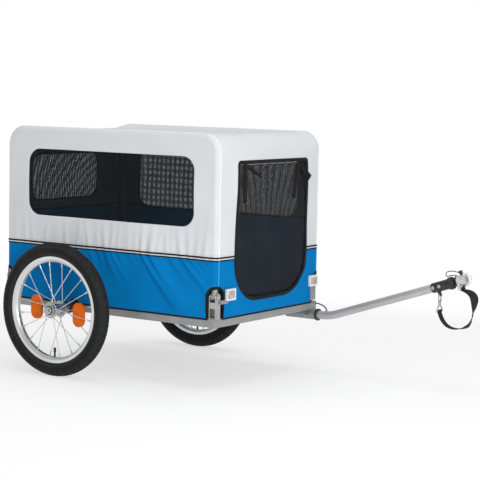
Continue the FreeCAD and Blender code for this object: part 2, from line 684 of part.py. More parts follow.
hollow = BALL_R + BALL_GAP
sleeve_r = BAR_R + SLEEVE_WALL
back_a = -math.sqrt(SOCKET_OUT ** 2 - sleeve_r ** 2)
lip_out = on_sphere(SOCKET_OUT, SOCKET_LIP)
lip_in = on_sphere(hollow, SOCKET_LIP)
bore_r = BAR_R + RUN
corner_a = V(SLEEVE_BACK, 0, sleeve_r)
corner_b = V(back_a, 0, sleeve_r)
corner_c = V(-hollow, 0, 0)
corner_d = V(BAR_END, 0, 0)
corner_e = V(BAR_END, 0, bore_r)
corner_f = V(SLEEVE_BACK, 0, bore_r)
sleeve = turned_wire([(corner_a, corner_b), (corner_b, on_sphere(SOCKET_OUT, back_a / 4), lip_out),
                      (lip_out, lip_in), (lip_in, on_sphere(hollow, -hollow / 2), corner_c),
                      (corner_c, corner_d), (corner_d, corner_e), (corner_e, corner_f), (corner_f, corner_a)])
sleeve = sleeve.fuse(box(EYE_A - 5, EYE_A + 5, -2.5, 2.5, EYE_B - 6, -BAR_R - 1.0))
sleeve = sleeve.cut(rod(V(EYE_A, -20, EYE_B), across, 3.0, 40))
sleeve = local(sleeve)
for hole in bolt_holes:
    sleeve = sleeve.cut(hole)
save("hitch_socket", sleeve)

bolts = []
side_y = BAR_R + SLEEVE_WALL
for a in BOLTS_A:
    bolt = rod(hitch(a, -side_y, 0), across, BOLT_R, 2 * side_y)
    for y, way in ((-side_y, -1), (side_y, 1)):
        corners = []
        for k in range(6):
            turn = math.pi / 3 * k
            corners.append(hitch(a + 5.8 * math.cos(turn), y, 5.8 * math.sin(turn)))
        nut = Part.Face(Part.makePolygon(corners + [corners[0]])).extrude(V(0, way * 4.0, 0))
        bolt = bolt.fuse(nut)
    bolts.append(bolt.removeSplitter())
save("hitch_bolts", Part.makeCompound(bolts))

LUG_A = 28.0
LUG_B = -23.0
LUG_R = 2.5
NECK_R = 6.0
FLANGE_A = SOCKET_OUT + 0.6
FLANGE_L = 5.5
neck_a = math.sqrt(BALL_R ** 2 - NECK_R ** 2)
side_line = [V(neck_a, 0, NECK_R), V(FLANGE_A, 0, NECK_R), V(FLANGE_A, 0, HEAD_R + 2)]
side_line += [V(FLANGE_A + FLANGE_L, 0, HEAD_R + 2), V(FLANGE_A + FLANGE_L, 0, HEAD_R), V(HEAD_END, 0, HEAD_R)]
side_line += [V(HEAD_END, 0, HITCH_R), V(HEAD_END - HITCH_DEEP, 0, HITCH_R)]
side_line += [V(HEAD_END - HITCH_DEEP, 0, HITCH_R - 1.0), V(HITCH_PIN_A - 9, 0, HITCH_R - 1.0)]
side_line += [V(HITCH_PIN_A - 9, 0, 0), V(-BALL_R, 0, 0)]
ball_arc = (V(-BALL_R, 0, 0), V(0, 0, BALL_R), V(neck_a, 0, NECK_R))
head = turned_wire([ball_arc] + list(zip(side_line, side_line[1:])))
lug_y = STRAP_W / 2 + 1.5
for y in (-lug_y - 3, lug_y):
    head = head.fuse(box(LUG_A - 4, LUG_A + 4, y, y + 3, LUG_B - 4, -6))
head = head.fuse(rod(V(LUG_A, -lug_y - 1, LUG_B), across, LUG_R, 2 * lug_y + 2))
head = head.cut(rod(V(HITCH_PIN_A, 0, -40), V(0, 0, 1), HITCH_PIN_R + RUN, 80)).removeSplitter()
save("coupler_head", local(head))

PIN_DOWN = HEAD_R + 4.0
KNOB_R = 6.0
KNOB_B = HEAD_R + 4.5
pin = rod(V(HITCH_PIN_A, 0, -PIN_DOWN), V(0, 0, 1), HITCH_PIN_R, PIN_DOWN + KNOB_B + 1)
pin = pin.fuse(rod(V(HITCH_PIN_A, 0, KNOB_B), V(0, 0, 1), KNOB_R, 9.0)).removeSplitter()
save("hitch_pin", local(pin))
WIRE_R = 1.2
wire_turn = math.radians(40.0)


def beside_pin(reach, b):
    return hitch(HITCH_PIN_A + reach * math.cos(wire_turn), reach * math.sin(wire_turn), b)


wire_b = HEAD_R + 2.6
WIRE_REACH = 27.0
wire_path = [beside_pin(HITCH_PIN_R, wire_b), beside_pin(WIRE_REACH, wire_b)]
wire_path += [beside_pin(WIRE_REACH, -wire_b), beside_pin(HITCH_PIN_R + 0.4, -wire_b)]
save("pin_wire", swept(wire_path, [0, 18.0, 18.0, 0], WIRE_R))
LANYARD_R = 1.3
lanyard = [hitch(FLANGE_A + 2.6, 0, HEAD_R + 2 + 0.96 * LANYARD_R), hitch(4, 0, SOCKET_OUT + 3.8)]
lanyard += [hitch(-12, 0, SOCKET_OUT + 3), hitch(-9, 0, SOCKET_OUT + 17), hitch(13, 0, SOCKET_OUT + 16)]
lanyard.append(hitch(HITCH_PIN_A - KNOB_R - 0.52 * LANYARD_R, 0, KNOB_B + 5.0))
cord("pin_lanyard", lanyard, LANYARD_R)

# Snap hook through the eye under the socket, with a spring gate and a strap bar
eye = hitch(EYE_A, 0, EYE_B)
HOOK_R = 2.0
HOOK_W = 7.5
hook_top = eye.z
hook_low = hook_top - 20.0
gate_low = hook_low + 6.0
gate_high = hook_top - 5.0
ex = eye.x


def hook_point(y, z):
    return V(ex, BAR_Y + y, z)


lower = [hook_point(-HOOK_W, gate_low - HOOK_R), hook_point(-HOOK_W, hook_low), hook_point(HOOK_W, hook_low)]
lower += [hook_point(HOOK_W, hook_top), hook_point(-HOOK_W, hook_top), hook_point(-HOOK_W, gate_high + GAP)]
hook = swept(lower, [0, 3.2, 3.2, 4.0, 4.0, 0], HOOK_R)
bar_z = hook_low - 30.0
hook = hook.fuse(rod(hook_point(0, hook_low - 12), V(0, 0, 1), 4.5, 12))
loop_y = STRAP_W / 2 + 3.0
triangle = [hook_point(0, hook_low - 9), hook_point(-loop_y, bar_z + 6), hook_point(-loop_y, bar_z)]
triangle += [hook_point(loop_y, bar_z), hook_point(loop_y, bar_z + 6), hook_point(0, hook_low - 9)]
hook = hook.fuse(swept(triangle, [0, 3.0, 2.9, 2.9, 3.0, 0], HOOK_R)).removeSplitter()
save("snap_hook", hook)
gate = rod(hook_point(-HOOK_W, gate_low), V(0, 0, 1), HOOK_R - 0.3, gate_high - gate_low)
gate = gate.fuse(Part.makeSphere(HOOK_R - 0.3, hook_point(-HOOK_W, gate_low))).removeSplitter()
save("snap_gate", gate)

# Safety strap: flat webbing sewn round the lug of the head and round the bar of the hook
lug = hitch(LUG_A, 0, LUG_B)
LOOP_GAP = 0.3
strap_mid = [V(lug.x, 0, lug.z - LUG_R - LOOP_GAP - STRAP_T / 2), V(STRAP_FRONT, 0, lug.z - 6),
             V(STRAP_FRONT, 0, lug.z - 66), V(lug.x + 22, 0, bar_z - 48), V(ex + 14, 0, bar_z - 48),
             V(ex, 0, bar_z - HOOK_R - LOOP_GAP)]
radii = cord_radii(strap_mid)
strap_wire = rounded_wire(strap_mid, radii)
start = strap_mid[0]
flat = [start + V(0, 0, -STRAP_T / 2), start + V(0, 0, STRAP_T / 2)]
flat = [flat[0] + V(0, -STRAP_W / 2, 0), flat[0] + V(0, STRAP_W / 2, 0),
        flat[1] + V(0, STRAP_W / 2, 0), flat[1] + V(0, -STRAP_W / 2, 0)]
section = Part.Wire(Part.makePolygon(flat + [flat[0]]))
strap = strap_wire.makePipeShell([section], True, False)
print("safety_strap length", round(strap_wire.Length, 1), "bends", [round(r, 1) for r in radii[1:-1]],
      "volume ratio", round(strap.Volume / (strap_wire.Length * STRAP_W * STRAP_T), 3))
for centre, r in ((V(lug.x, 0, lug.z), LUG_R), (V(ex, 0, bar_z), HOOK_R)):
    low = centre + V(0, -STRAP_W / 2, 0)
    ring = rod(low, across, r + LOOP_GAP + STRAP_T, STRAP_W)
    strap = strap.fuse(ring).cut(rod(low, across, r + LOOP_GAP, STRAP_W))
strap.translate(V(0, BAR_Y, 0))
save("safety_strap", strap.removeSplitter())

# The stored frame has its origin midway along the rigid pieces, on the ground
CORDS = ("safety_strap", "pin_tether", "pin_lanyard", "roll_up_straps")
boxes = [shape.BoundBox for name, shape in pieces.items() if name not in CORDS]
X_SHIFT = (max(b.XMax for b in boxes) + min(b.XMin for b in boxes)) / 2
for name, shape in pieces.items():
    shape.translate(V(-X_SHIFT, 0, 0))
    shape.exportStep("parts/" + name + ".step")
print("pieces", len(pieces), "shift", round(X_SHIFT, 4), "hitch ball", BALL, "eye", eye)
print("front", max(b.XMax for b in boxes), "rear", min(b.XMin for b in boxes))
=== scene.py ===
import math

import bmesh
import bpy
import numpy as np
from mathutils import Matrix, Vector


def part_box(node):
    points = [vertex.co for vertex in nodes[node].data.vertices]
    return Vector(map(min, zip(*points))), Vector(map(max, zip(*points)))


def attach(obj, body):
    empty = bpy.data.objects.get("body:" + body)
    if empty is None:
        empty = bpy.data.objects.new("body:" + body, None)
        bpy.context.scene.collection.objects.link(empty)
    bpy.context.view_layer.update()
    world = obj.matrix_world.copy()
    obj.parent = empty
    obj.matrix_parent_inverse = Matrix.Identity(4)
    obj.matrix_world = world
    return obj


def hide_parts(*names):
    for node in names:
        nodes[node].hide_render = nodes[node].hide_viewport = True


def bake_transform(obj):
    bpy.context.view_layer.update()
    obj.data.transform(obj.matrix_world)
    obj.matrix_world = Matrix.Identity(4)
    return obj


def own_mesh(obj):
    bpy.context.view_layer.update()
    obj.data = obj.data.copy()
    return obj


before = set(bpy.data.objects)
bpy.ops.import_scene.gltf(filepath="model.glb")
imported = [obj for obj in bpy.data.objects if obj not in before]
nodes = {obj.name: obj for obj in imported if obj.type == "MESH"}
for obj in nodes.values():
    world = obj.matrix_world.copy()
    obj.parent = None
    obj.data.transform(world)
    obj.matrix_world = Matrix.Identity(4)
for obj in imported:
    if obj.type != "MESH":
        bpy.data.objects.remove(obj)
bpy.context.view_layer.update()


# Base frame, drawbar and hoops: extruded and bent aluminium tube with a satin silver coat.
# The square tubes are closed at their ends and riveted, so the corners show a little bare metal.
def feed(tree, socket, value):
    """Links a node's output to a socket, or sets the socket's own value."""
    if isinstance(value, bpy.types.NodeSocket):
        tree.links.new(value, socket)
    else:
        socket.default_value = value


def connect(tree, node, **inputs):
    """Feeds a node's inputs by name; an underscore stands for a space in the name."""
    for key, value in inputs.items():
        feed(tree, node.inputs[key.replace("_", " ")], value)
    return node


def add(tree, kind, props=None, **inputs):
    """A shader node with its properties and inputs."""
    node = tree.nodes.new("ShaderNode" + kind)
    for key, value in (props or {}).items():
        setattr(node, key, value)
    return connect(tree, node, **inputs)


def calc(tree, operation, *values, kind="Math"):
    """The number that a Math or VectorMath node finds from given values or other nodes' outputs."""
    node = add(tree, kind, {"operation": operation})
    for socket, value in zip(node.inputs, values):
        feed(tree, socket, value)
    return node.outputs["Value"]


def vary(tree, mask, low, high):
    """A value that goes from low to high as mask goes from 0 to 1."""
    return calc(tree, "MULTIPLY_ADD", mask, high - low, low)


def ramp(tree, value, low, high, props=None, **ends):
    """How far a value has gone from low to high, from 0 to 1 or between other ends."""
    return add(tree, "MapRange", props, Value=value, From_Min=low, From_Max=high, **ends).outputs[0]


def tint(tree, mask, first, second):
    """Colour that goes from first to second as mask goes from 0 to 1."""
    node = add(tree, "Mix", {"data_type": "RGBA"})
    for index, value in ((0, mask), (6, first), (7, second)):
        feed(tree, node.inputs[index], (*value, 1) if isinstance(value, tuple) else value)
    return node.outputs[2]


def raised(tree, height, strength, deep, **normal):
    """Normal of a surface with a fine relief."""
    return add(tree, "Bump", Height=height, Strength=strength, Distance=deep, **normal).outputs[0]


def solid_coord(tree):
    """Places in the piece itself, in metres."""
    return add(tree, "TexCoord").outputs["Object"]


def shader_group(name, inputs, outputs):
    """An empty node group with named sockets, its given values and its output node."""
    tree = bpy.data.node_groups.new(name, "ShaderNodeTree")
    for way, labels in (("INPUT", inputs), ("OUTPUT", outputs)):
        for label in labels:
            kind = "Vector" if label in ("Coord", "Normal") else "Float"
            tree.interface.new_socket(label, in_out=way, socket_type="NodeSocket" + kind)
    return tree, tree.nodes.new("NodeGroupInput").outputs, tree.nodes.new("NodeGroupOutput")


def place(tree, group, **inputs):
    """A shader group put into a material with its own values."""
    return add(tree, "Group", {"node_tree": group}, **inputs).outputs


def make_mottle():
    """Cloudy and fine noise, both from 0 to 1, for uneven colour, gloss and grain."""
    tree, given, out = shader_group("mottle", ("Coord", "Size"), ("Cloud", "Fine"))
    finer = calc(tree, "MULTIPLY", given[1], 24.0)
    for label, scale, detail in (("Cloud", given[1], 3.0), ("Fine", finer, 2.0)):
        noise = add(tree, "TexNoise", Vector=given[0], Scale=scale, Detail=detail).outputs[0]
        connect(tree, out, **{label: ramp(tree, noise, 0.3, 0.7)})
    return tree


def make_edge_wear():
    """Rounds sharp edges in the light and gives a mask of where they are."""
    tree, given, out = shader_group("edge_wear", ("Radius",), ("Normal", "Edge"))
    bevel = add(tree, "Bevel", {"samples": 4}, Radius=given[0]).outputs[0]
    face = add(tree, "NewGeometry").outputs["Normal"]
    agree = calc(tree, "DOT_PRODUCT", bevel, face, kind="VectorMath")
    connect(tree, out, Normal=bevel, Edge=ramp(tree, calc(tree, "SUBTRACT", 1.0, agree), 0.02, 0.25))
    return tree


MOTTLE = make_mottle()
EDGE_WEAR = make_edge_wear()


def coat(mat, **inputs):
    """Feeds a material's Principled node and hands the material back."""
    connect(mat.node_tree, mat.node_tree.nodes["Principled BSDF"], **inputs)
    return mat


def finish(name, **sockets):
    """A new material with some of its values, and its node tree."""
    mat = bpy.data.materials.new(name)
    mat.use_nodes = True
    return coat(mat, **sockets), mat.node_tree


GRAIN_DEEP = 0.0004


def hard_finish(name, dark, light, rough, size, edge=None, edge_colour=None, grain=0.0, **sockets):
    """Metal, plastic or rubber: two shades in clouds, uneven gloss, fine grain and rubbed edges."""
    mat, tree = finish(name, **sockets)
    cloud, fine = place(tree, MOTTLE, Coord=solid_coord(tree), Size=size)
    colour = tint(tree, cloud, dark, light)
    normal = {}
    if edge:
        normal["Normal"], rub = place(tree, EDGE_WEAR, Radius=edge)
        rubbed = calc(tree, "MULTIPLY", rub, vary(tree, cloud, 0.2, 0.8))
        colour = tint(tree, rubbed, colour, edge_colour)
    if grain:
        normal["Normal"] = raised(tree, fine, grain, GRAIN_DEEP, **normal)
    return coat(mat, Base_Color=colour, Roughness=vary(tree, fine, *rough), **normal)


def dress(material, *names):
    """Gives CAD nodes a material."""
    for name in names:
        slots = nodes[name].data.materials
        slots.clear()
        slots.append(material)


# The rails, axle tube, receiver and hoops take a darker copy of the coat than the drawbar: painted shade on
# them.
shaded_silver_coat = hard_finish("shaded_silver_coat", (0.27, 0.273, 0.275), (0.34, 0.343, 0.345), (0.38, 0.52), 14.0,
                          0.0016, (0.60, 0.60, 0.61), 0.06, Metallic=0.45)
dress(shaded_silver_coat, "left_rail", "right_rail", "front_rail", "rear_rail", "axle_tube", "drawbar_receiver",
      "left_hoop", "right_hoop")
dress(hard_finish("bar_silver", (0.43, 0.433, 0.437), (0.52, 0.523, 0.527), (0.34, 0.48), 14.0, 0.0012,
                  (0.75, 0.75, 0.76), 0.06, Metallic=0.45), "drawbar")

# Brackets, pins, rivets, axles and hook: pressed and turned steel, zinc plated.
# The plating is brighter on the edges that rub, and the pressed brackets have rounded edges.
zinc = hard_finish("zinc_plate", (0.36, 0.36, 0.355), (0.50, 0.50, 0.495), (0.22, 0.4), 30.0, 0.0007,
                   (0.76, 0.76, 0.75), 0.05, Metallic=0.9)
dress(zinc, "left_brackets", "right_brackets", "hinge_pins", "frame_rivets", "left_axle", "right_axle",
      "lock_pin", "hitch_bolts", "pin_wire", "snap_hook", "snap_gate", "left_release_button",
      "right_release_button")

# Coupler head: die-cast alloy, left dull and light grey, with a ball on its neck that turns in the hitch
# socket. The ball, the neck and the flange in front of the socket are finished black.
HEAD_LINE = (0.9483, 0, 0.3173)
SHOULDER = 0.6962


def head_finish():
    """Dull cast alloy with a fine sand grain, black behind the shoulder of the head."""
    mat, tree = finish("cast_alloy", Metallic=0.3)
    coord = solid_coord(tree)
    cloud, fine = place(tree, MOTTLE, Coord=coord, Size=50.0)
    along = calc(tree, "DOT_PRODUCT", coord, HEAD_LINE, kind="VectorMath")
    alloy = tint(tree, cloud, (0.50, 0.502, 0.505), (0.58, 0.582, 0.585))
    colour = tint(tree, calc(tree, "GREATER_THAN", along, SHOULDER), (0.014, 0.014, 0.015), alloy)
    return coat(mat, Base_Color=colour, Roughness=vary(tree, fine, 0.45, 0.55),
                Normal=raised(tree, fine, 0.1, GRAIN_DEEP))


dress(head_finish(), "coupler_head")

# Floor board: black hollow plastic sheet laid on the base tubes.
# Sockets, collar, hitch socket and pin knob: black moulded plastic with a fine spark grain.
black_plastic = hard_finish("black_plastic", (0.012, 0.012, 0.013), (0.022, 0.022, 0.023), (0.38, 0.55), 25.0,
                            0.0008, (0.06, 0.06, 0.062), 0.25)
dress(black_plastic, "floor_panel", "left_axle_socket", "right_axle_socket", "receiver_collar",
      "hitch_socket", "hitch_pin")

# Side cover: polyester cloth coated on the inside, light grey above the stripe and blue below.
# Each side is sewn to its hoop, rolls over the edge to a piped seam and gathers softly at the stripe.
CLOTH_T = 0.0012
ROLL = 0.013
BODY_R = 0.056
SIDE_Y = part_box("left_side_panel")[1].y
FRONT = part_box("front_wall")[1].x
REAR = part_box("rear_wall")[0].x
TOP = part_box("roof")[1].z
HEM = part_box("left_skirt")[0].z
axle_low, axle_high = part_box("left_axle")
AXLE_X = (axle_low.x + axle_high.x) / 2
AXLE_Z = (axle_low.z + axle_high.z) / 2
ARCH_FOOT = 0.274
ARCH_RISE = 0.023
RIGHT_ARCH = 0.028
LEFT_ARCH = 0.048
WALL_ARCH = 0.239
STRIPE = 0.3800
STRIPE_HALF = 0.0040
WALL_Y = SIDE_Y - ROLL
EDGE_X1 = FRONT - ROLL
EDGE_X0 = REAR + ROLL
EDGE_Z = TOP - ROLL
BEND_Z = TOP - BODY_R
BEND_X1 = FRONT - BODY_R
BEND_X0 = REAR + BODY_R


def line(start, stop, count):
    """Even points from start towards stop, without stop."""
    return np.linspace(start, stop, count, endpoint=False)


def arc(centre, radius, start, stop, count):
    """Even points on a circle between two angles in degrees, without the last."""
    turn = np.radians(line(start, stop, count))
    return np.stack([centre[0] + radius * np.cos(turn), centre[1] + radius * np.sin(turn)], 1)


def between(inner, outer, rings):
    """Cloth round an opening: straight lines from each point of the opening to its partner on the edge."""
    share = np.linspace(0, 1, rings + 1)[:, None, None]
    return inner[None] * (1 - share) + outer[None] * share


def grid_faces(rows, columns, closed, first):
    """Quads of a grid of points numbered row by row; closed joins the last column to the first."""
    span = columns if closed else columns - 1
    row, column = np.meshgrid(np.arange(rows - 1), np.arange(span), indexing="ij")
    after = (column + 1) % columns
    start, next_start = row * columns, (row + 1) * columns
    quads = [start + column, start + after, next_start + after, next_start + column]
    return first + np.stack(quads, -1).reshape(-1, 4)


def mesh_piece(name, grids, materials, outward=None, caps=False):
    """One mesh from grids of (points, cloth coordinates, closed), merged where they meet."""
    points, coords, faces = [], [], []
    count = 0
    for spots, flat, closed in grids:
        rows, columns = spots.shape[:2]
        faces += grid_faces(rows, columns, closed, count).tolist()
        if caps:
            last = count + (rows - 1) * columns
            faces += [list(range(count, count + columns)), list(range(last, last + columns))]
        points.append(spots.reshape(-1, 3))
        coords.append(flat.reshape(-1, 2))
        count += rows * columns
    mesh = bpy.data.meshes.new(name)
    mesh.from_pydata(np.concatenate(points).tolist(), [], faces)
    corners = np.zeros(len(mesh.loops), np.int32)
    mesh.loops.foreach_get("vertex_index", corners)
    layer = mesh.uv_layers.new(name="cloth")
    layer.data.foreach_set("uv", np.concatenate(coords)[corners].astype(np.float32).ravel())
    mesh.shade_smooth()
    for material in materials:
        mesh.materials.append(material)
    work = bmesh.new()
    work.from_mesh(mesh)
    bmesh.ops.remove_doubles(work, verts=work.verts, dist=1e-6)
    if outward is None:
        bmesh.ops.recalc_face_normals(work, faces=work.faces)
    work.to_mesh(mesh)
    work.free()
    if outward is not None:
        facing = np.zeros(len(mesh.polygons) * 3, np.float32)
        mesh.polygons.foreach_get("normal", facing)
        if (facing.reshape(-1, 3) @ np.array(outward)).mean() < 0:
            mesh.flip_normals()
    piece = bpy.data.objects.new(name, mesh)
    bpy.context.scene.collection.objects.link(piece)
    return piece


def thicken(piece, depth, lining=0):
    """Gives a sheet its thickness, inwards, with another material on the inside."""
    wall = piece.modifiers.new("thickness", "SOLIDIFY")
    wall.thickness = depth
    wall.offset = -1
    wall.material_offset = lining


def split(tree, vector):
    """A vector's three numbers."""
    return add(tree, "SeparateXYZ", Vector=vector).outputs


def weigh(tree, *terms):
    """Sum of masks, each times its weight."""
    total = 0.0
    for mask, weight in terms:
        total = calc(tree, "MULTIPLY_ADD", mask, weight, total)
    return total


def make_weave():
    """Plain weave: over-and-under threads of two directions on flat cloth coordinates in metres."""
    tree, given, out = shader_group("weave", ("Coord", "Threads"), ("Height", "Across", "Up"))
    pace = calc(tree, "MULTIPLY", given[1], 2 * math.pi)
    phases = [calc(tree, "MULTIPLY", part, pace) for part in split(tree, given[0])[:2]]
    across, up = [calc(tree, "SINE", phase) for phase in phases]
    height = calc(tree, "MULTIPLY_ADD", calc(tree, "MULTIPLY", across, up), 0.5, 0.5)
    connect(tree, out, Height=height, Across=across, Up=up)
    return tree


WEAVE = make_weave()
LIGHT_CLOTH = (0.655, 0.672, 0.69)
BLUE_CLOTH = (0.0015, 0.178, 0.47)
BAND_CLOTH = (0.78, 0.785, 0.785)
DARK_BLUE = (0.002, 0.055, 0.12)
SEWN_OUT = 0.0065
STITCH_HALF = 0.0006
STITCHES = 260.0


def cloth_coord(tree):
    """Places on the flat cloth, in metres."""
    return add(tree, "UVMap", {"uv_map": "cloth"}).outputs[0]


def cloth_finish(name, upper, lower, band, shade, level, **sockets):
    """Woven cloth that changes colour at a level, with thread relief, tonal drift, sewn lines and painted
    shade between the threads.
    """
    mat, tree = finish(name, **sockets)
    flat = cloth_coord(tree)
    along, height = split(tree, flat)[:2]
    weave = place(tree, WEAVE, Coord=flat, Threads=520.0)[0]
    cloud, fine = place(tree, MOTTLE, Coord=flat, Size=7.0)
    above = calc(tree, "GREATER_THAN", height, level + STRIPE_HALF)
    below = calc(tree, "LESS_THAN", height, level - STRIPE_HALF)
    colour = tint(tree, below, tint(tree, above, band, upper), lower)
    from_stripe = calc(tree, "ABSOLUTE", calc(tree, "SUBTRACT", height, STRIPE))
    on_line = calc(tree, "COMPARE", from_stripe, STRIPE_HALF + SEWN_OUT, STITCH_HALF)
    dash = calc(tree, "GREATER_THAN", calc(tree, "FRACT", calc(tree, "MULTIPLY", along, STITCHES)), 0.35)
    stitch = calc(tree, "MULTIPLY", on_line, dash)
    # Darker between the threads: painted shade; darker in clouds and along the sewn lines: the cloth's own
    # tone.
    drift_and_gap_shade = weigh(tree, (calc(tree, "SUBTRACT", 1.0, weave), 0.05), (cloud, 0.07), (stitch, 0.16))
    lift = weigh(tree, (weave, 0.25), (stitch, -0.6), (cloud, 0.8))
    return coat(mat, Base_Color=tint(tree, drift_and_gap_shade, colour, shade), Roughness=vary(tree, fine, 0.72, 0.86),
                Normal=raised(tree, lift, 0.35, 0.0008))


WIN_LOW, WIN_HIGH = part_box("right_side_window")
WIN_R = 0.042
cover_cloth = cloth_finish("cover_cloth", LIGHT_CLOTH, BLUE_CLOTH, BAND_CLOTH, DARK_BLUE, STRIPE,
                           Specular_IOR_Level=0.03)
cover_inside = cloth_finish("cover_inside", (0.30, 0.302, 0.305), (0.012, 0.32, 0.72), (0.03, 0.10, 0.2),
                            (0.02, 0.022, 0.03), WIN_LOW.z, Specular_IOR_Level=0.06)
FOLD_PITCH = 0.026
FOLD_TALL = 0.0100


def gathers(along, height, start, stop, seed):
    """Outward height of the folds: ridges from the stripe, upright above it and fanning forwards below."""
    rng = np.random.default_rng(seed)
    count = int((stop - start) / FOLD_PITCH)
    forward = np.linspace(0, 1, count)
    at = np.linspace(start, stop, count) + rng.uniform(-0.010, 0.010, count)
    tall = rng.uniform(0.25, 0.6, count)
    wide = rng.uniform(0.006, 0.010, count)
    lean_up = rng.uniform(-0.2, 0.2, count)
    lean_down = -(0.12 + 1.05 * forward ** 1.3) + rng.uniform(-0.1, 0.1, count)
    main = np.exp(-((forward - 0.76) / 0.2) ** 2) * (rng.permutation(count) % 3 == 0)
    tall += 0.75 * main
    wide *= 1 + 0.5 * main
    long_down = rng.uniform(0.03, 0.06, count) + 0.15 * main
    rise = (height - STRIPE)[..., None]
    away = along[..., None] - at - np.where(rise > 0, lean_up, lean_down) * rise
    spread = wide * (1 + np.where(rise > 0, 5.0 * rise, -9.0 * rise))
    fade = np.where(rise > 0, 0.65 * np.exp(-(rise / 0.07) ** 2), np.exp(-(rise / long_down) ** 2))
    ridges = (tall * fade * np.exp(-(away / spread) ** 2)).sum(-1)
    return FOLD_TALL * ridges * (1 - 0.6 * np.exp(-(rise[..., 0] / 0.008) ** 2))


def ease(value, low, high):
    """0 below low, 1 above high and a smooth step between."""
    share = np.clip((value - low) / (high - low), 0, 1)
    return share * share * (3 - 2 * share)


def side_relief(flat, ripple):
    """How far the side cloth stands out: gathers and slow waves, and flat below the height they end at."""
    x, z = np.moveaxis(flat, -1, 0)
    seed, calm = ripple
    edges = ease(x, EDGE_X0, EDGE_X0 + 0.035) * ease(EDGE_X1 - x, 0, 0.035) * ease(EDGE_Z - z, 0, 0.04)
    hem = (0.25 + 0.75 * ease(z, HEM, HEM + 0.05)) * ease(z, calm, calm + 0.026)
    wave = 0.0018 * np.sin(17 * x + 6 * z + seed) * np.sin(11 * z + 3 * x)
    slack = wave + 0.0010 * np.sin(41 * x - 23 * z)
    return edges * hem * (gathers(x, z, REAR + 0.05, FRONT - 0.04, seed) + slack)


def rounded_loop(start, stop, radii, counts):
    """A rounded opening's edge: lower line, corner, side and so on, in counts to match an outer edge."""
    (x0, z0), (x1, z1) = start, stop
    low, high = radii
    bottom, corner, side, shoulder, top = counts
    return np.concatenate([
        line((x0 + low, z0), (x1 - low, z0), bottom), arc((x1 - low, z0 + low), low, -90, 0, corner),
        line((x1, z0 + low), (x1, z1 - high), side), arc((x1 - high, z1 - high), high, 0, 90, shoulder),
        line((x1 - high, z1), (x0 + high, z1), top), arc((x0 + high, z1 - high), high, 90, 180, shoulder),
        line((x0, z1 - high), (x0, z0 + low), side), arc((x0 + low, z0 + low), low, 180, 270, corner)])


def arch_height(share):
    """Height of a corner cut-out's edge by the share of the way over it: half an oval on upright legs."""
    return ARCH_FOOT + ARCH_RISE * np.sqrt(np.clip(1 - (2 * share - 1) ** 2, 0, 1))


def arch_spans(arch_in):
    """Lengths of cloth over a corner cut-out: on the side, round the rolled corner and on the end wall."""
    return np.array([arch_in - ROLL, ROLL * math.pi / 2, WALL_Y - WALL_ARCH])


def side_edges(arch_in):
    """The edge of the flat side: hem with a notch for the axle, corner arches, and the rolled edge."""
    notch = 0.0188
    dip = HEM - AXLE_Z
    wide = math.sqrt(notch ** 2 - dip ** 2)
    tilt = math.degrees(math.asin(dip / notch))
    x0, x1 = REAR + arch_in, FRONT - arch_in
    spans = arch_spans(arch_in)
    reach = spans[0] * np.linspace(0, 1, 15) ** 2
    rise = arch_height(reach / spans.sum())
    hem = [line((x0, HEM), (AXLE_X - wide, HEM), 70), arc((AXLE_X, AXLE_Z), notch, 180 - tilt, tilt, 14),
           line((AXLE_X + wide, HEM), (x1, HEM), 150)]
    ahead = [line((x1, HEM), (x1, ARCH_FOOT), 8), np.stack([x1 + reach, rise], 1)[:-1]]
    inner = BODY_R - ROLL
    roll = [line((EDGE_X1, rise[-1]), (EDGE_X1, BEND_Z), 40), arc((BEND_X1, BEND_Z), inner, 0, 90, 14),
            line((BEND_X1, EDGE_Z), (BEND_X0, EDGE_Z), 84), arc((BEND_X0, BEND_Z), inner, 90, 180, 14),
            line((EDGE_X0, BEND_Z), (EDGE_X0, rise[-1]), 40)]
    behind = [np.stack([x0 - reach, rise], 1)[:0:-1], line((x0, ARCH_FOOT), (x0, HEM), 8)]
    return [np.concatenate(part) for part in (hem, ahead, roll, behind)]


def rolled(edge, turns, spans):
    """The cloth that rolls over the edge: a quarter circle carried round the side, ending at the cut-outs."""
    path = np.concatenate([edge, [[EDGE_X0, edge[0, 1]]]])
    turn = np.arctan2(np.clip(path[:, 1] - BEND_Z, 0, None),
                      np.clip(path[:, 0] - BEND_X1, 0, None) + np.clip(path[:, 0] - BEND_X0, None, 0))
    out = np.stack([np.cos(turn), np.sin(turn)], 1)
    bend = np.linspace(0, math.pi / 2, turns)[:, None, None]
    flat = path[None] + out[None] * ROLL * np.sin(bend)
    deep = np.broadcast_to(ROLL * (1 - np.cos(bend)), flat.shape[:2] + (1,))
    coords = path[None] + out[None] * ROLL * bend
    low = np.clip((BEND_Z - path[:, 1]) / (BEND_Z - edge[0, 1]), 0, 1)
    shift = low * (arch_height((spans[0] + ROLL * bend[..., 0]) / spans.sum()) - edge[0, 1])
    flat[..., 1] += shift
    coords[..., 1] += shift
    return flat, deep[..., 0], coords, path, out


def on_side(flat, y):
    """Places on a side: the flat shape's length and height, and how far it stands from the middle."""
    return np.stack([flat[..., 0], y, flat[..., 1]], -1)


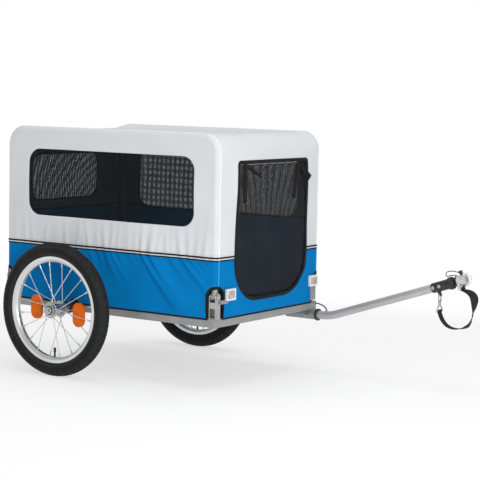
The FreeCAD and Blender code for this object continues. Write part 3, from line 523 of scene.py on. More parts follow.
sides = {}
for side, way, arch_in, hinge, ripple in (("right", -1, RIGHT_ARCH, 0.272, (11, 0.1)),
                                          ("left", 1, LEFT_ARCH, 0.250, (23, 0.335))):
    hem, ahead, roll, behind = side_edges(arch_in)
    outer = np.concatenate([hem, ahead, roll, behind])
    opening = rounded_loop((WIN_LOW.x, WIN_LOW.z), (WIN_HIGH.x, WIN_HIGH.z), (WIN_R, WIN_R),
                           (len(hem), 22, 40, 14, 84))
    flat = between(opening, outer, 52)
    stand = side_relief(flat, ripple)
    face = on_side(flat, way * (SIDE_Y + stand))
    strip, deep, strip_coords, edge_path, edge_out = rolled(roll, 9, arch_spans(arch_in))
    lip = on_side(strip, way * (SIDE_Y - deep))
    cloth = mesh_piece(side + "_side_cloth", [(face, flat, True), (lip, strip_coords, False)],
                       [cover_cloth, cover_inside], outward=(0, way, 0))
    thicken(cloth, CLOTH_T, 1)
    bending = {"start": (0, way * SIDE_Y, hinge - 0.009), "end": (0, way * SIDE_Y, hinge + 0.009)}
    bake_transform(cloth)
    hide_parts(side + "_side_panel", side + "_skirt")
    sides[side] = (way, bending, ripple, hem, ahead, behind, edge_path, edge_out, lip)

# Roof, front and rear wall: one length of the same cloth that runs up the front, over the hoops and down
# the back. It has the door opening in front, a mesh window behind and rounded cut-outs round the brackets.
WALL_TOP = BEND_Z
OPENING_COUNTS = (40, 19, 40, 6, 48)
FRONT_SEED = 5
REAR_SEED = 8
door_low, door_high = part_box("front_door")
DOOR_Y = door_high.y + 0.0005
DOOR_LOW = door_low.z + 0.006
DOOR_TOP = door_high.z - 0.001
DOOR_R = 0.116
DOOR_R_TOP = 0.006


def wall_corner(arch_in):
    """The cut-out's edge on an end wall from its leg to the rolled corner, as distance out and height."""
    spans = arch_spans(arch_in)
    reach = spans[2] * np.linspace(0, 1, 12) ** 2
    return np.stack([WALL_ARCH + reach, arch_height(1 - reach / spans.sum())], 1)


def wall_edges():
    """The edge of an end wall: hem, arch, side, top, side, arch, with as many points as its opening."""
    left_arch, right_arch = wall_corner(LEFT_ARCH), wall_corner(RIGHT_ARCH) * [-1, 1]
    y0, y1 = -WALL_ARCH, WALL_ARCH
    hem = line((y0, HEM), (y1, HEM), 40)
    climb = [line((y1, HEM), (y1, ARCH_FOOT), 8), left_arch[:-1]]
    fall = [right_arch[:0:-1], line((y0, ARCH_FOOT), (y0, HEM), 8)]
    sides_up = line(left_arch[-1], (WALL_Y, WALL_TOP), 43)
    top = line((WALL_Y, WALL_TOP), (-WALL_Y, WALL_TOP), 54)
    down = line((-WALL_Y, WALL_TOP), right_arch[-1], 43)
    return hem, np.concatenate(climb), sides_up, top, down, np.concatenate(fall)


def belly(y, z):
    """How far the middle of an end wall bulges: a low dome that ends at the hem, the roof and the corners."""
    dome = 0.006 * np.clip(1 - (y / WALL_Y) ** 2, 0, 1)
    return dome * ease(z, HEM + 0.01, HEM + 0.16) * ease(WALL_TOP - z, 0, 0.12)


def wall_relief(flat, seed):
    """How far an end wall stands out: a bulge, small gathers and slow waves, flat at every edge."""
    y, z = np.moveaxis(flat, -1, 0)
    hem = 0.2 + 0.8 * ease(z, HEM, HEM + 0.04)
    edges = ease(WALL_Y - np.abs(y), 0, 0.04) * ease(WALL_TOP - z, 0, 0.05) * hem
    slack = 0.0009 * np.sin(23 * y + 9 * z + seed) * np.sin(13 * z) + 0.0006 * np.sin(37 * y - 19 * z)
    return belly(y, z) + edges * (0.3 * gathers(y, z, -0.24, 0.24, seed) + slack)


def on_wall(x, flat):
    """Places on an end wall: how far it stands out, and the flat shape's width and height."""
    return np.stack([x, flat[..., 0], flat[..., 1]], -1)


def door_lean(flat):
    """The door's right edge leans inwards, more towards its top; the share is one over its right half."""
    lean = np.where(flat[..., 0] < 0, 0.035 + 0.07 * ease(flat[..., 1], 0.40, 0.65), 0)
    return flat * np.stack([1 - lean, np.ones(lean.shape)], -1)


wall_parts = wall_edges()
wall_outer = np.concatenate(wall_parts)
door_opening = door_lean(rounded_loop((-DOOR_Y, DOOR_LOW), (DOOR_Y, DOOR_TOP), (DOOR_R, DOOR_R_TOP),
                                      OPENING_COUNTS))
front_flat = between(door_opening, wall_outer, 22)
front_face = on_wall(FRONT + wall_relief(front_flat, FRONT_SEED), front_flat)
REAR_LOW, REAR_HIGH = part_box("rear_window")
REAR_R = 0.035
rear_opening = rounded_loop((-REAR_HIGH.y, REAR_LOW.z), (REAR_HIGH.y, REAR_HIGH.z), (REAR_R, REAR_R),
                            OPENING_COUNTS)
rear_flat = between(rear_opening, wall_outer, 26)
rear_face = on_wall(REAR - wall_relief(rear_flat, REAR_SEED), rear_flat)


def roof_run(steps):
    """The roof's line from the top of the front wall to the top of the rear wall, and its length so far."""
    run = np.concatenate([arc((BEND_X1, BEND_Z), BODY_R, 0, 90, 16),
                          line((BEND_X1, TOP), (BEND_X0, TOP), steps),
                          arc((BEND_X0, BEND_Z), BODY_R, 90, 180, 16), [[REAR, BEND_Z]]])
    step = np.linalg.norm(np.diff(run, axis=0), axis=1)
    return run, np.concatenate([[0], np.cumsum(step)])


def roof_relief(x, y):
    """The roof sinks between the hoops, more at its rear edge, and carries faint cross waves."""
    inward = WALL_Y - np.abs(y)
    middle = ease(inward, 0, 0.14) * ease(x, REAR + 0.02, REAR + 0.25) * ease(FRONT - x, 0.02, 0.25)
    behind = ease(inward, 0, 0.07) * ease(x, REAR, REAR + 0.05) * (1 - ease(x, REAR + 0.12, REAR + 0.5))
    deep = 0.0042 + 0.0012 * np.sin(19 * x + 5 * y) + 0.0008 * np.sin(47 * x - 9 * y)
    return -middle * deep - 0.011 * behind


run, length_along = roof_run(80)
across = np.concatenate([wall_parts[3][:, 0], [-WALL_Y]])
roof_x, roof_y = np.meshgrid(run[:, 0], across, indexing="ij")
roof_z = np.broadcast_to(run[:, 1:], roof_x.shape) + roof_relief(roof_x, roof_y)
roof_face = np.stack([roof_x, roof_y, roof_z], -1)
roof_flat = np.stack([roof_y, WALL_TOP + np.broadcast_to(length_along[:, None], roof_x.shape)], -1)
top_cloth = mesh_piece("top_cloth", [(front_face, front_flat, True), (roof_face, roof_flat, False),
                                     (rear_face[:, ::-1], rear_flat[:, ::-1], True)],
                       [cover_cloth, cover_inside], outward=(0, 0, 1))
thicken(top_cloth, CLOTH_T, 1)
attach(top_cloth, "chassis")
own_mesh(top_cloth)
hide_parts("roof", "front_wall", "rear_wall")

# Windows and door: black polyester mesh, sewn in behind the cloth.
# The door hangs from its top seam, is bound all round with tape and closes with a zip.
MESH_T = 0.0006
SEWN_BEHIND = 0.0004
HOLE_EDGE = 0.2
THREAD_COVER = 0.82
HOLE_COVER = 0.11


def mesh_finish(name, thread, pitch, open_at):
    """Fine mesh: dark threads, and square holes where the waves of both thread directions are high."""
    mat, tree = finish(name, Specular_IOR_Level=0.12)
    flat = cloth_coord(tree)
    weave, across, up = place(tree, WEAVE, Coord=flat, Threads=1 / pitch)
    cloud = place(tree, MOTTLE, Coord=flat, Size=9.0)[0]
    cover = ramp(tree, calc(tree, "MINIMUM", across, up), open_at - HOLE_EDGE, open_at + HOLE_EDGE,
                 To_Min=THREAD_COVER, To_Max=HOLE_COVER)
    lighter = tuple(1.9 * c for c in thread)
    return coat(mat, Alpha=cover, Base_Color=tint(tree, cloud, thread, lighter),
                Roughness=vary(tree, cloud, 0.6, 0.7), Normal=raised(tree, weave, 0.4, 0.0006))


def rounded_fill(start, stop, radii, columns, rows):
    """A flat sheet with rounded corners: columns from its lower to its upper edge, closer at the corners."""
    (x0, z0), (x1, z1) = start, stop
    low, high = radii
    big = max(low, high)
    near = big * (1 - np.cos(np.linspace(0, math.pi / 2, 10)))
    x = np.concatenate([x0 + near, np.linspace(x0 + big, x1 - big, columns)[1:-1], x1 - near[::-1]])
    gap = np.minimum(x - x0, x1 - x)
    lower = z0 + low - np.sqrt(low ** 2 - np.clip(low - gap, 0, None) ** 2)
    upper = z1 - high + np.sqrt(high ** 2 - np.clip(high - gap, 0, None) ** 2)
    share = np.linspace(0, 1, rows)[:, None]
    return np.stack([np.broadcast_to(x, (rows, len(x))), lower + (upper - lower) * share], -1)


window_mesh = mesh_finish("window_mesh", (0.0046, 0.0071, 0.0094), 0.0026, -0.13)
door_mesh = mesh_finish("door_mesh", (0.0130, 0.0140, 0.0160), 0.0024, -0.16)
LAP = 0.006
for side in sides:
    way, ripple = sides[side][0], sides[side][2]
    flat = rounded_fill((WIN_LOW.x - LAP, WIN_LOW.z - LAP), (WIN_HIGH.x + LAP, WIN_HIGH.z + LAP),
                        (WIN_R + LAP, WIN_R + LAP), 50, 24)
    stand = 0.7 * side_relief(flat, ripple) - CLOTH_T - SEWN_BEHIND
    sheet = on_side(flat, way * (SIDE_Y + stand))
    pane = mesh_piece(side + "_window_mesh", [(sheet, flat, False)], [window_mesh], outward=(0, way, 0))
    thicken(pane, MESH_T)
    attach(pane, side + "_frame")
    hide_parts(side + "_side_window")

flat = rounded_fill((-REAR_HIGH.y - LAP, REAR_LOW.z - LAP), (REAR_HIGH.y + LAP, REAR_HIGH.z + LAP),
                    (REAR_R + LAP, REAR_R + LAP), 30, 16)
sheet = on_wall(REAR + CLOTH_T + SEWN_BEHIND - wall_relief(flat, REAR_SEED), flat)
rear_pane = mesh_piece("rear_window_mesh", [(sheet, flat, False)], [window_mesh], outward=(-1, 0, 0))
thicken(rear_pane, MESH_T)
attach(rear_pane, "chassis")
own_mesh(rear_pane)
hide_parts("rear_window")

DOOR_GAP = 0.0045
DOOR_IN = 0.0006


def door_relief(flat):
    """The door follows the wall's bulge, slackens low down and is drawn in at its edges."""
    y, z = np.moveaxis(flat, -1, 0)
    edges = ease(DOOR_Y - np.abs(y), 0, 0.06) * ease(z, DOOR_LOW, DOOR_LOW + 0.08)
    edges = edges * ease(DOOR_TOP - z, 0, 0.1)
    slack = 0.003 * np.exp(-((z - 0.36) / 0.12) ** 2) + 0.0008 * np.sin(21 * y + 8 * z) * np.sin(15 * z)
    return belly(y, z) + edges * slack


flat = door_lean(rounded_fill((-DOOR_Y + DOOR_GAP, DOOR_LOW + DOOR_GAP),
                              (DOOR_Y - DOOR_GAP, DOOR_TOP - DOOR_GAP),
                              (DOOR_R - DOOR_GAP, DOOR_R_TOP - DOOR_GAP), 40, 44))
sheet = on_wall(FRONT - DOOR_IN + door_relief(flat), flat)
door_sheet = mesh_piece("door_mesh", [(sheet, flat, False)], [door_mesh], outward=(1, 0, 0))
thicken(door_sheet, MESH_T)
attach(door_sheet, "door")
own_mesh(door_sheet)
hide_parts("front_door")

# Tape, piping and straps: black woven polyester, sewn round the door, the hem and the corner cut-outs.
# Two black cords edge the pale band of the stripe, and a cord in glossier cloth fills each corner seam; that
# cloth is lighter than the cover's, a painted highlight along the corners.


def web_finish(name, dark, light, ribs):
    """Narrow woven tape: ribs across its width, paler on the tops of the ribs in clouds."""
    mat, tree = finish(name, Specular_IOR_Level=0.15)
    flat = cloth_coord(tree)
    weave = place(tree, WEAVE, Coord=flat, Threads=ribs)[0]
    cloud, fine = place(tree, MOTTLE, Coord=flat, Size=40.0)
    mask = calc(tree, "MULTIPLY", weave, vary(tree, cloud, 0.2, 0.8))
    return coat(mat, Base_Color=tint(tree, mask, dark, light), Roughness=vary(tree, fine, 0.55, 0.75),
                Normal=raised(tree, weave, 0.5, 0.0005))


def carried(path, normal, section, widths=1.0, closed=False):
    """A section of (across, out) points carried along a path, out along normal and across square to both."""
    ahead = np.roll(path, -1, 0) - np.roll(path, 1, 0)
    if not closed:
        ahead[0] = path[1] - path[0]
        ahead[-1] = path[-1] - path[-2]
    ahead /= np.linalg.norm(ahead, axis=1)[:, None]
    sideways = np.cross(np.broadcast_to(normal, path.shape), ahead)
    sideways /= np.linalg.norm(sideways, axis=1)[:, None]
    out = np.cross(ahead, sideways)
    reach = section[None, :, :1] * np.broadcast_to(widths, (len(path),))[:, None, None]
    rings = path[:, None] + reach * sideways[:, None] + section[None, :, 1:] * out[:, None]
    step = np.linalg.norm(np.diff(path, axis=0), axis=1)
    along = np.concatenate([[0], np.cumsum(step)])
    girth = np.linspace(0, 1, len(section)) * np.abs(section).max() * 4
    flat = np.stack(np.broadcast_arrays(along[:, None], girth[None]), -1)
    if closed:
        rings = np.concatenate([rings, rings[:1]])
        flat = np.concatenate([flat, flat[-1:] + [[np.linalg.norm(path[0] - path[-1]), 0]]])
    return rings, flat


def round_section(radius, count=10):
    """A circle of points."""
    turn = line(0, 2 * math.pi, count)
    return radius * np.stack([np.cos(turn), np.sin(turn)], 1)


def tape_section(inside, outside, thick, count=5):
    """A flat tape with rounded edges, from inside to outside of its path."""
    turn = np.linspace(-math.pi / 2, math.pi / 2, count)
    half = thick / 2
    edge = half * np.stack([np.cos(turn), np.sin(turn)], 1)
    return np.concatenate([[outside - half, 0] + edge, [inside + half, 0] - edge])


def strip_piece(name, path, normal, section, material, widths=1.0, closed=False, height=False):
    """A tape or cord on a path as one closed mesh; height keeps each point's height as its coordinate."""
    rings, flat = carried(path, normal, section, widths, closed)
    if height:
        flat = np.stack([flat[..., 0], rings[..., 2]], -1)
    return mesh_piece(name, [(rings, flat, True)], [material], caps=not closed)


black_tape = web_finish("black_tape", (0.006, 0.006, 0.0065), (0.016, 0.016, 0.017), 900.0)
# The piping's light grey and pale blue are lighter than the cover's cloth: a painted highlight on the corner
# seams.
piping_painted_highlight = cloth_finish("piping_painted_highlight", (0.80, 0.81, 0.82), (0.035, 0.30, 0.64), BAND_CLOTH, DARK_BLUE,
                            STRIPE, Specular_IOR_Level=0.1)
HEM_TAPE = tape_section(-0.001, 0.0042, 0.0030)
TAPE_PAST = 0.004
PIPING_R = 0.0021
STRIPE_CORDS = ((STRIPE - STRIPE_HALF, 0.0021), (STRIPE + STRIPE_HALF, 0.0026))
SIDE_CORD_OUT = 0.0003
WALL_CORD_OUT = 0.0004


def tape_width(height):
    """Share of the hem tape's width: plain along the hem and broader round the corner cut-outs."""
    return 1 + 0.7 * ease(height, HEM + 0.004, HEM + 0.03)


for side in sides:
    way, bending, ripple, hem, ahead, behind, edge_path, edge_out, lip = sides[side]
    route = np.concatenate([behind, hem, ahead])
    stand = SIDE_Y + side_relief(route, ripple)
    flat_path = on_side(route, way * stand)
    past = [0, -TAPE_PAST * way, -0.0002]
    path = np.concatenate([lip[-1:, -1] + past, lip[:0:-1, -1], flat_path, lip[:, 0], lip[-1:, 0] + past])
    bend = np.append(np.linspace(0, math.pi / 2, len(lip)), math.pi / 2)
    over = np.stack([way * np.sin(bend), -np.cos(bend), 0 * bend], 1)
    facing = np.broadcast_to([0.0, -1.0, 0.0], flat_path.shape)
    normal = np.concatenate([over[:0:-1], facing, over * [-1, 1, 1]])
    tape = strip_piece(side + "_hem_tape", path, normal, HEM_TAPE, black_tape, tape_width(path[:, 2]))
    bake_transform(tape)
    seam = (edge_path + edge_out * ROLL)[1:-1]
    path = on_side(seam, np.full(len(seam), way * (SIDE_Y - ROLL)))
    normal = on_side(edge_out[1:-1], np.zeros(len(seam)))
    piping = strip_piece(side + "_corner_piping", path, normal, round_section(PIPING_R), piping_painted_highlight,
                         height=True)
    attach(piping, side + "_frame")
    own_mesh(piping)
    turn = np.linspace(0, math.pi / 2, 7)[:-1]
    round_y = SIDE_Y - ROLL + ROLL * np.sin(turn)
    tail = np.stack([EDGE_X0 - ROLL * np.cos(turn), round_y], 1)
    nose = np.stack([EDGE_X1 + ROLL * np.cos(turn), round_y], 1)[::-1]
    x = np.linspace(EDGE_X0, EDGE_X1, 170)
    # The left cords are flat, because the right hoop folds down over them.
    flatness = 1.0 if side == "right" else 0.3
    for number, (level, thick) in enumerate(STRIPE_CORDS):
        flat_y = SIDE_Y + side_relief(np.stack(np.broadcast_arrays(x, level), 1), ripple) + SIDE_CORD_OUT
        plan = np.concatenate([tail, np.stack([x, flat_y], 1), nose])
        path = np.stack([plan[:, 0], way * plan[:, 1], np.full(len(plan), level)], 1)
        oval = round_section(thick, 8) * [flatness, 1.0]
        cord = strip_piece(f"{side}_stripe_cord_{number}", path, (0, 0, 1), oval, black_tape)
        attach(cord, side + "_frame")
        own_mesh(cord)

for end, x, out, seed in (("front", FRONT, 1, FRONT_SEED), ("rear", REAR, -1, REAR_SEED)):
    (hem, right, up), left = wall_parts[:3], wall_parts[5]
    past = [TAPE_PAST, 0]
    route = np.concatenate([left[:1] - past, left, hem, right, up[:1], up[:1] + past])
    tuck = 0.0006 * (np.abs(route[:, 0]) > WALL_Y + 0.001)
    path = on_wall(x + out * (wall_relief(route, seed) - tuck), route)
    tape = strip_piece(end + "_hem_tape", path, (1, 0, 0), HEM_TAPE, black_tape, tape_width(route[:, 1]))
    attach(tape, "chassis")
    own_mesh(tape)
    beside = DOOR_Y + TAPE_PAST
    spans = ((-WALL_Y, -beside), (beside, WALL_Y)) if out > 0 else ((-WALL_Y, WALL_Y),)
    for number, (y0, y1) in enumerate(spans):
        for level_name, (level, thick) in zip(("low", "high"), STRIPE_CORDS):
            flat = np.stack(np.broadcast_arrays(np.linspace(y0, y1, 60), level), 1)
            path = on_wall(x + out * (wall_relief(flat, seed) + WALL_CORD_OUT), flat)
            cord = strip_piece(f"{end}_stripe_cord_{number}_{level_name}", path, (0, 0, 1),
                               round_section(thick, 8), black_tape)
            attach(cord, "chassis")
            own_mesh(cord)

ZIP_OUT = 0.0006
ZIP_TAPE = tape_section(-0.0085, 0.0025, 0.0024)
path = on_wall(FRONT + ZIP_OUT + wall_relief(door_opening, FRONT_SEED), door_opening)
zip_tape = strip_piece("door_zip_tape", path, (1, 0, 0), ZIP_TAPE, black_tape, closed=True)
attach(zip_tape, "door")
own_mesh(zip_tape)

STRAP_W = 0.022
STRAP_T = 0.0016
STRAP_OUT = 0.0034
door_webbing = web_finish("door_webbing", (0.004, 0.004, 0.0045), (0.013, 0.013, 0.014), 420.0)
STRAPS = (("left_roll_strap", (0.142, 0.645), (0.106, 0.540), STRAP_W, 0.003),
          ("right_roll_strap", (-0.146, 0.648), (-0.152, 0.536), STRAP_W, 0.003),
          ("left_strap_tail", (0.153, 0.638), (0.190, 0.596), STRAP_W, 0.010),
          ("right_strap_tail", (-0.134, 0.640), (-0.068, 0.608), 0.010, 0.002))
for name, (y0, z0), (y1, z1), wide, lift in STRAPS:
    drop = np.linspace(0, 1, 30)
    y = y0 + (y1 - y0) * drop
    z = z0 + (z1 - z0) * drop
    path = np.stack([FRONT + STRAP_OUT + belly(y, z) + lift * drop ** 2, y, z], 1)
    strap = strip_piece(name, path, (1, 0, 0), tape_section(-wide / 2, wide / 2, STRAP_T), door_webbing)
    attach(strap, "door")
    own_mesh(strap)
    if "roll" in name:
        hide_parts("roll_up_straps")

# Reflectors: moulded plates of prisms, clear in front and red behind, on plates screwed to the brackets.
# The front housings are white and the rear ones black, each before a mounting plate of bare grey steel.


def shell_finish(name, shell, plane, out):
    """A reflector's housing, and behind a plane across the trailer the grey steel plate that carries it."""
    mat, tree = finish(name, Coat_Weight=0.3, Coat_Roughness=0.2)
    coord = solid_coord(tree)
    cloud, fine = place(tree, MOTTLE, Coord=coord, Size=45.0)
    ahead = calc(tree, "GREATER_THAN" if out > 0 else "LESS_THAN", split(tree, coord)[0], plane)
    plate = tint(tree, cloud, (0.16, 0.16, 0.163), (0.25, 0.25, 0.253))
    body = tint(tree, cloud, shell, tuple(0.9 * c for c in shell))
    return coat(mat, Base_Color=tint(tree, ahead, plate, body), Roughness=vary(tree, fine, 0.25, 0.4),
                Normal=place(tree, EDGE_WEAR, Radius=0.0012)[0])


def prisms(y0, y1, z0, z1, pitch, tall):
    """A field of small pyramids: the height falls from the middle of each square cell to its edges."""
    y = np.linspace(y0, y1, 2 * round((y1 - y0) / pitch) + 1)
    z = np.linspace(z0, z1, 2 * round((z1 - z0) / pitch) + 1)
    peak = np.outer(np.arange(len(z)) % 2, np.arange(len(y)) % 2)
    grid_y, grid_z = np.meshgrid(y, z)
    return grid_y, grid_z, tall * peak


PLATE_OUT = 0.0042
dress(shell_finish("front_reflector_shell", (0.72, 0.725, 0.73), FRONT + PLATE_OUT, 1), "front_reflectors")
dress(shell_finish("rear_reflector_shell", (0.02, 0.02, 0.021), REAR - PLATE_OUT, -1), "rear_reflectors")
clear_lens = hard_finish("clear_lens", (0.26, 0.245, 0.235), (0.46, 0.44, 0.425), (0.1, 0.2), 60.0,
                         Coat_Weight=0.5)
red_lens = hard_finish("red_lens", (0.33, 0.006, 0.006), (0.46, 0.012, 0.010), (0.08, 0.16), 60.0,
                       Coat_Weight=0.8)
LENS_X = 0.011
LENS_W = 0.036
LENS_Z = (0.2645, 0.2895)
LENS_T = 0.0006
PRISM_PITCH = 0.0040
PRISM_TALL = 0.0010
for end, side, way, y0 in (("front", "right", -1, 0.1935), ("front", "left", 1, 0.2175),
                           ("rear", "right", -1, 0.2175), ("rear", "left", 1, 0.2175)):
    out, lens, face_x = (1, clear_lens, FRONT) if end == "front" else (-1, red_lens, REAR)
    y, z, peak = prisms(y0, y0 + LENS_W, *LENS_Z, PRISM_PITCH, PRISM_TALL)
    deep = np.full(peak.shape, -0.0008)
    deep[1:-1, 1:-1] = 0.0003 + peak[1:-1, 1:-1]
    field = np.stack([face_x + out * (LENS_X + deep), way * y, z], -1)
    cell = mesh_piece(f"{end}_{side}_lens", [(field, np.stack([y, z], -1), False)], [lens],
                      outward=(out, 0, 0))
    cell.data.shade_flat()
    thicken(cell, LENS_T)
    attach(cell, "chassis")

# Wheels: rubber tyre with a block tread on a polished alloy rim, plated spokes and a chromed hub.
# The tyre is moulded in one piece, its tread cut by two zigzag grooves and slanted sipes.
WHEEL_Y = 0.3625
TYRE_R = 0.199
BELLY_R = 0.1764
BELLY_IN = 0.0205
TYRE_HALF = 0.023
BEAD = np.array([[0.0106, 0.1575], [-0.0106, 0.1575]])
LUGS = 88
SIPE_SLANT = 1.26
RIBS = (104, 128)
TREAD_DEEP = 0.0030
GROOVE_AT = 0.0062
GROOVE_HALF = 0.0010
MIDDLE_HALF = 0.0052


def tyre_grid(columns):
    """A tyre: an oval section round the axle with blocks, low between them, on the outer third."""
    leaf = np.radians(np.concatenate([line(-150, -66, 14), np.linspace(-66, 66, 37),
                                      np.linspace(66, 150, 15)[1:]]))
    across = TYRE_HALF * np.sin(leaf)
    off = np.abs(across)[None]
    up = np.where(np.cos(leaf) > 0, TYRE_R - BELLY_R, BELLY_IN) * np.cos(leaf)
    turn = line(0, 2 * math.pi, columns)
    phase = turn[:, None] * LUGS / (2 * math.pi) + SIPE_SLANT * off / TYRE_HALF
    sipe = np.abs((phase % 1) - 0.5) > 0.40
    zigzag = 0.0008 * np.where((phase * 2) % 2 > 1, 1, -1)
    ring = np.abs(off - GROOVE_AT + zigzag) < GROOVE_HALF
    tread = np.abs(leaf)[None] < math.radians(60)
    shoulder = np.abs(leaf)[None] > math.radians(24)
    cut = tread & ((sipe & shoulder) | ring | (sipe & (off < MIDDLE_HALF)))
    radius = BELLY_R + up[None] - TREAD_DEEP * cut
    angle = np.abs(np.degrees(leaf))
    ribs = (np.abs(angle - RIBS[0]) < 4) | (np.abs(angle - RIBS[1]) < 4)
    wide = across[None] * (1 + 0.02 * ribs[None]) + 0 * radius
    wide = np.concatenate([wide, np.broadcast_to(BEAD[:, 0], (columns, 2))], 1)
    radius = np.concatenate([radius, np.broadcast_to(BEAD[:, 1], (columns, 2))], 1)
    flat = np.stack(np.broadcast_arrays(turn[:, None] * TYRE_R, wide), -1)
    return turn, wide, radius, flat


def tyre_finish():
    """Black rubber with a dull bloom, paler on top of the tread blocks than between them and on the sides."""
    mat, tree = finish("tyre_rubber", Specular_IOR_Level=0.2)
    cloud, fine = place(tree, MOTTLE, Coord=solid_coord(tree), Size=35.0)
    flat = cloth_coord(tree)
    weave = place(tree, WEAVE, Coord=flat, Threads=110.0)[0]
    tread = ramp(tree, calc(tree, "ABSOLUTE", split(tree, flat)[1]), 0.0225, 0.0205)
    block = calc(tree, "MULTIPLY", tread, ramp(tree, weave, 0.45, 0.6))
    plain_tone = tint(tree, cloud, (0.0045, 0.0046, 0.0047), (0.009, 0.0092, 0.0094))
    return coat(mat, Base_Color=tint(tree, block, plain_tone, (0.025, 0.0255, 0.026)),
                Roughness=vary(tree, fine, 0.55, 0.75), Normal=raised(tree, fine, 0.2, GRAIN_DEEP))


tyre_rubber = tyre_finish()
for side, way in (("right", -1), ("left", 1)):
    turn, wide, radius, flat = tyre_grid(LUGS * 12)
    ring = np.stack([AXLE_X + radius * np.cos(turn)[:, None], way * (WHEEL_Y + wide),
                     AXLE_Z + radius * np.sin(turn)[:, None]], -1)
    ring = np.concatenate([ring, ring[:1]])
    flat = np.concatenate([flat, flat[:1]])
    tyre = mesh_piece(side + "_tyre_tread", [(ring, flat, True)], [tyre_rubber])
    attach(tyre, side + "_wheel")
    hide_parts(side + "_tyre")

alloy = hard_finish("rim_alloy", (0.66, 0.665, 0.67), (0.73, 0.735, 0.74), (0.27, 0.31), 18.0,
                    Metallic=0.85)
chrome = hard_finish("hub_chrome", (0.34, 0.345, 0.35), (0.50, 0.50, 0.505), (0.12, 0.24), 40.0, 0.0006,
                     (0.8, 0.8, 0.8), Metallic=0.95)
spoke_steel = hard_finish("spoke_steel", (0.56, 0.56, 0.565), (0.7, 0.7, 0.705), (0.28, 0.4), 60.0,
                          Metallic=0.75)
seal_rubber = hard_finish("seal_rubber", (0.010, 0.010, 0.011), (0.02, 0.02, 0.021), (0.45, 0.6), 50.0,
                          grain=0.2)


def amber_finish():
    """Amber plastic lens: rows of prisms pressed into its face under a glossy skin."""
    mat, tree = finish("amber_lens", Specular_IOR_Level=0.12)
    coord = solid_coord(tree)
    parts = split(tree, coord)
    face = add(tree, "CombineXYZ", X=parts[0], Y=parts[2]).outputs[0]
    weave = place(tree, WEAVE, Coord=face, Threads=240.0)[0]
    cloud = place(tree, MOTTLE, Coord=coord, Size=30.0)[0]
    mask = weigh(tree, (cloud, 0.4), (weave, 0.5))
    return coat(mat, Base_Color=tint(tree, mask, (0.48, 0.075, 0.0), (0.84, 0.165, 0.001)),
                Roughness=vary(tree, cloud, 0.14, 0.24), Normal=raised(tree, weave, 0.6, 0.001))


amber = amber_finish()
for side in ("right", "left"):
    dress(alloy, side + "_rim")
    dress(chrome, side + "_hub_shell")
    dress(spoke_steel, side + "_spokes")
    dress(seal_rubber, side + "_hub_bearings", side + "_inner_tube")
    dress(amber, side + "_wheel_reflectors")

# Cords at the front: a flat safety strap on the hitch, the lock pin's tether and the hitch pin's lanyard.
# The strap is nylon webbing sewn round two bars; the tether and the lanyard are braided cord.


def smooth_route(points):
    """The line of a cord: a NURBS spline on the route's points, read back as points along it."""
    curve = bpy.data.curves.new("route", "CURVE")
    curve.dimensions = "3D"
    curve.resolution_u = 16
    spline = curve.splines.new("NURBS")
    spline.points.add(len(points) - 1)
    spline.points.foreach_set("co", np.concatenate([points, np.ones((len(points), 1))], 1).ravel())
    spline.order_u = 3
    spline.use_endpoint_u = True
    holder = bpy.data.objects.new("route", curve)
    bpy.context.scene.collection.objects.link(holder)
    mesh = bpy.data.meshes.new_from_object(holder)
    found = np.zeros(len(mesh.vertices) * 3, np.float32)
    mesh.vertices.foreach_get("co", found)
    bpy.data.objects.remove(holder)
    return found.reshape(-1, 3).astype(float)


braid = web_finish("black_braid", (0.010, 0.010, 0.011), (0.04, 0.04, 0.042), 600.0)
BAR_Y = 0.2605
CORDS = (("lock_pin_tether", "pin_tether", ("chassis", "lock"), 0.004, 12, (0.35, -0.75, -0.56),
          "medium", "hanging",
          ((0.1386, 0.2635, 0.2040), (0.1611, 0.2635, 0.2020), (0.1731, 0.2725, 0.1890),
           (0.1671, 0.2865, 0.1770), (0.1371, 0.2965, 0.1710), (0.1231, 0.2865, 0.1690))),
         ("hitch_pin_lanyard", "pin_lanyard", ("coupler", "coupler_pin"), 0.0026, 10, (0, 1, 0),
          "stiff", "loose",
          ((0.6208, BAR_Y, 0.3315), (0.6023, BAR_Y, 0.3296), (0.5873, BAR_Y, 0.3238),
           (0.5857, BAR_Y, 0.3380), (0.6069, BAR_Y, 0.3440), (0.6275, BAR_Y, 0.3404))))
for name, node, bodies, thick, corners, facing, stiffness, lay, points in CORDS:
    path = smooth_route(np.array(points))
    cord = strip_piece(name, path, facing, round_section(thick / 2, corners), braid)
    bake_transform(cord)
    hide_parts(node)

webbing = web_finish("black_webbing", (0.012, 0.012, 0.0125), (0.036, 0.036, 0.037), 420.0)
WEB_W = 0.025
WEB_T = 0.002
LOOP_T = 0.0018
strap_path = smooth_route(np.array([
    (0.6395, BAR_Y, 0.2900), (0.6817, BAR_Y, 0.2878), (0.6817, BAR_Y, 0.2278),
    (0.6615, BAR_Y, 0.1732), (0.5831, BAR_Y, 0.1732), (0.5690, BAR_Y, 0.2190)]))


def twisted(path, turn):
    """Outward normals of a flat strap in an upright plane, turned about its own line at each point."""
    ahead = np.gradient(path, axis=0)
    ahead /= np.linalg.norm(ahead, axis=1)[:, None]
    level = np.broadcast_to([0.0, 1.0, 0.0], path.shape)
    upright = np.cross(ahead, level)
    return upright * np.cos(turn)[:, None] + level * np.sin(turn)[:, None]


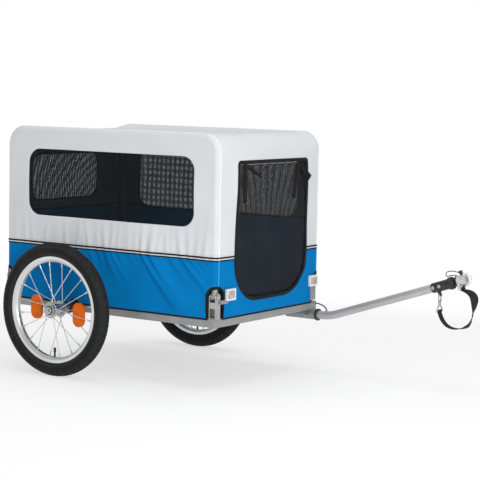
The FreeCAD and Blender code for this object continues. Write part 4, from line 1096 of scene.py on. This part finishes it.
share = np.linspace(0, 1, len(strap_path))
strap_turn = np.radians(np.interp(share, (0, 0.2, 0.42, 0.6, 0.75, 1), (0, -50, 32, -12, 0, 0)))
strap = strip_piece("safety_strap_web", strap_path, twisted(strap_path, strap_turn),
                    tape_section(-WEB_W / 2, WEB_W / 2, WEB_T), webbing)
loops = []
for name, centre, radius in (("strap_lug_loop", (0.6395, 0.2938), 0.0038),
                             ("strap_hook_loop", (0.5690, 0.2212), 0.0033)):
    round_path = arc(centre, radius, 0, 360, 24)
    path = on_side(round_path, np.full(len(round_path), BAR_Y))
    outwards = path - [centre[0], BAR_Y, centre[1]]
    loop = strip_piece(name, path, outwards, tape_section(-WEB_W / 2, WEB_W / 2, LOOP_T), webbing,
                       closed=True)
    loops.append(loop)
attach(loops[0], "coupler")
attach(loops[1], "chassis")
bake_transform(strap)
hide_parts("safety_strap")

# Studio: a white floor that fades into a white backdrop, soft lamps round the trailer, and the camera.
# The camera stands to the front right at about the trailer's height, far off, with a long lens.
scene = bpy.context.scene
scene.view_settings.view_transform = "Standard"
FLOOR_HALF = 40
FLOOR_WHITE = 0.6
SHADOW_NEAR = 0.75
SHADOW_FAR = 1.9


def floor_finish():
    """White floor that takes shadows near the trailer and is plain white backdrop far from it."""
    mat, tree = finish("studio_floor", Base_Color=(0.93, 0.93, 0.93, 1), Roughness=0.9,
                       Specular_IOR_Level=0.1)
    away = calc(tree, "LENGTH", solid_coord(tree), kind="VectorMath")
    far = ramp(tree, away, SHADOW_NEAR, SHADOW_FAR, {"interpolation_type": "SMOOTHSTEP"})
    seen = add(tree, "LightPath").outputs
    mirrored = calc(tree, "MAXIMUM", seen["Is Glossy Ray"], seen["Is Transmission Ray"])
    direct = calc(tree, "MAXIMUM", seen["Is Camera Ray"], mirrored)
    faint = calc(tree, "MAXIMUM", far, FLOOR_WHITE)
    lit = tree.nodes["Principled BSDF"].outputs[0]
    white = add(tree, "Emission", Color=(1, 1, 1, 1), Strength=1.0).outputs[0]
    mix = add(tree, "MixShader")
    for source, socket in zip((calc(tree, "MULTIPLY", faint, direct), lit, white), mix.inputs):
        tree.links.new(source, socket)
    connect(tree, tree.nodes["Material Output"], Surface=mix.outputs[0])
    return mat


floor_mesh = bpy.data.meshes.new("floor")
corners = [(-1, -1), (1, -1), (1, 1), (-1, 1)]
floor_mesh.from_pydata([(FLOOR_HALF * x, FLOOR_HALF * y, 0) for x, y in corners], [], [(0, 1, 2, 3)])
floor_mesh.materials.append(floor_finish())
floor = bpy.data.objects.new("floor", floor_mesh)
scene.collection.objects.link(floor)

world = bpy.data.worlds.new("studio")
scene.world = world
world.use_nodes = True
sky = world.node_tree
rays = add(sky, "LightPath").outputs
plain = calc(sky, "MAXIMUM", rays["Is Camera Ray"], rays["Is Transmission Ray"])
LIGHT_LEVEL = 0.53
connect(sky, sky.nodes["Background"], Color=(1, 1, 1, 1), Strength=vary(sky, plain, LIGHT_LEVEL, 1))


def soft_lamp(name, place_at, aim, size, power):
    """A square soft lamp aimed at a point."""
    data = bpy.data.lights.new(name, "AREA")
    data.size = size
    data.energy = power
    lamp = bpy.data.objects.new(name, data)
    scene.collection.objects.link(lamp)
    lamp.location = place_at
    lamp.rotation_euler = (Vector(aim) - Vector(place_at)).to_track_quat("-Z", "Y").to_euler()


soft_lamp("key", (2.9, -2.1, 1.15), (0, 0, 0.4), 0.9, 73)
soft_lamp("fill", (-2.4, -2.7, 1.4), (-0.2, 0, 0.4), 1.4, 11)
soft_lamp("over", (-0.2, 0.3, 3.4), (-0.2, 0, 0.4), 2.4, 40)

CAMERA_AT = (2.7271, -3.977, 0.880)
CAMERA_YAW = math.radians(34.15)
CAMERA_DOWN = math.radians(5.58)
CAMERA_ROLL = math.radians(1.2)
FOCAL_PIXELS = 1613
PICTURE_PIXELS = 480
SENSOR = 36
lens = bpy.data.cameras.new("camera")
lens.sensor_width = SENSOR
lens.lens = FOCAL_PIXELS * SENSOR / PICTURE_PIXELS
camera = bpy.data.objects.new("camera", lens)
scene.collection.objects.link(camera)
aim = Matrix.Rotation(CAMERA_YAW, 4, "Z") @ Matrix.Rotation(math.pi / 2 - CAMERA_DOWN, 4, "X")
camera.matrix_world = Matrix.Translation(CAMERA_AT) @ aim @ Matrix.Rotation(CAMERA_ROLL, 4, "Z")
scene.camera = camera
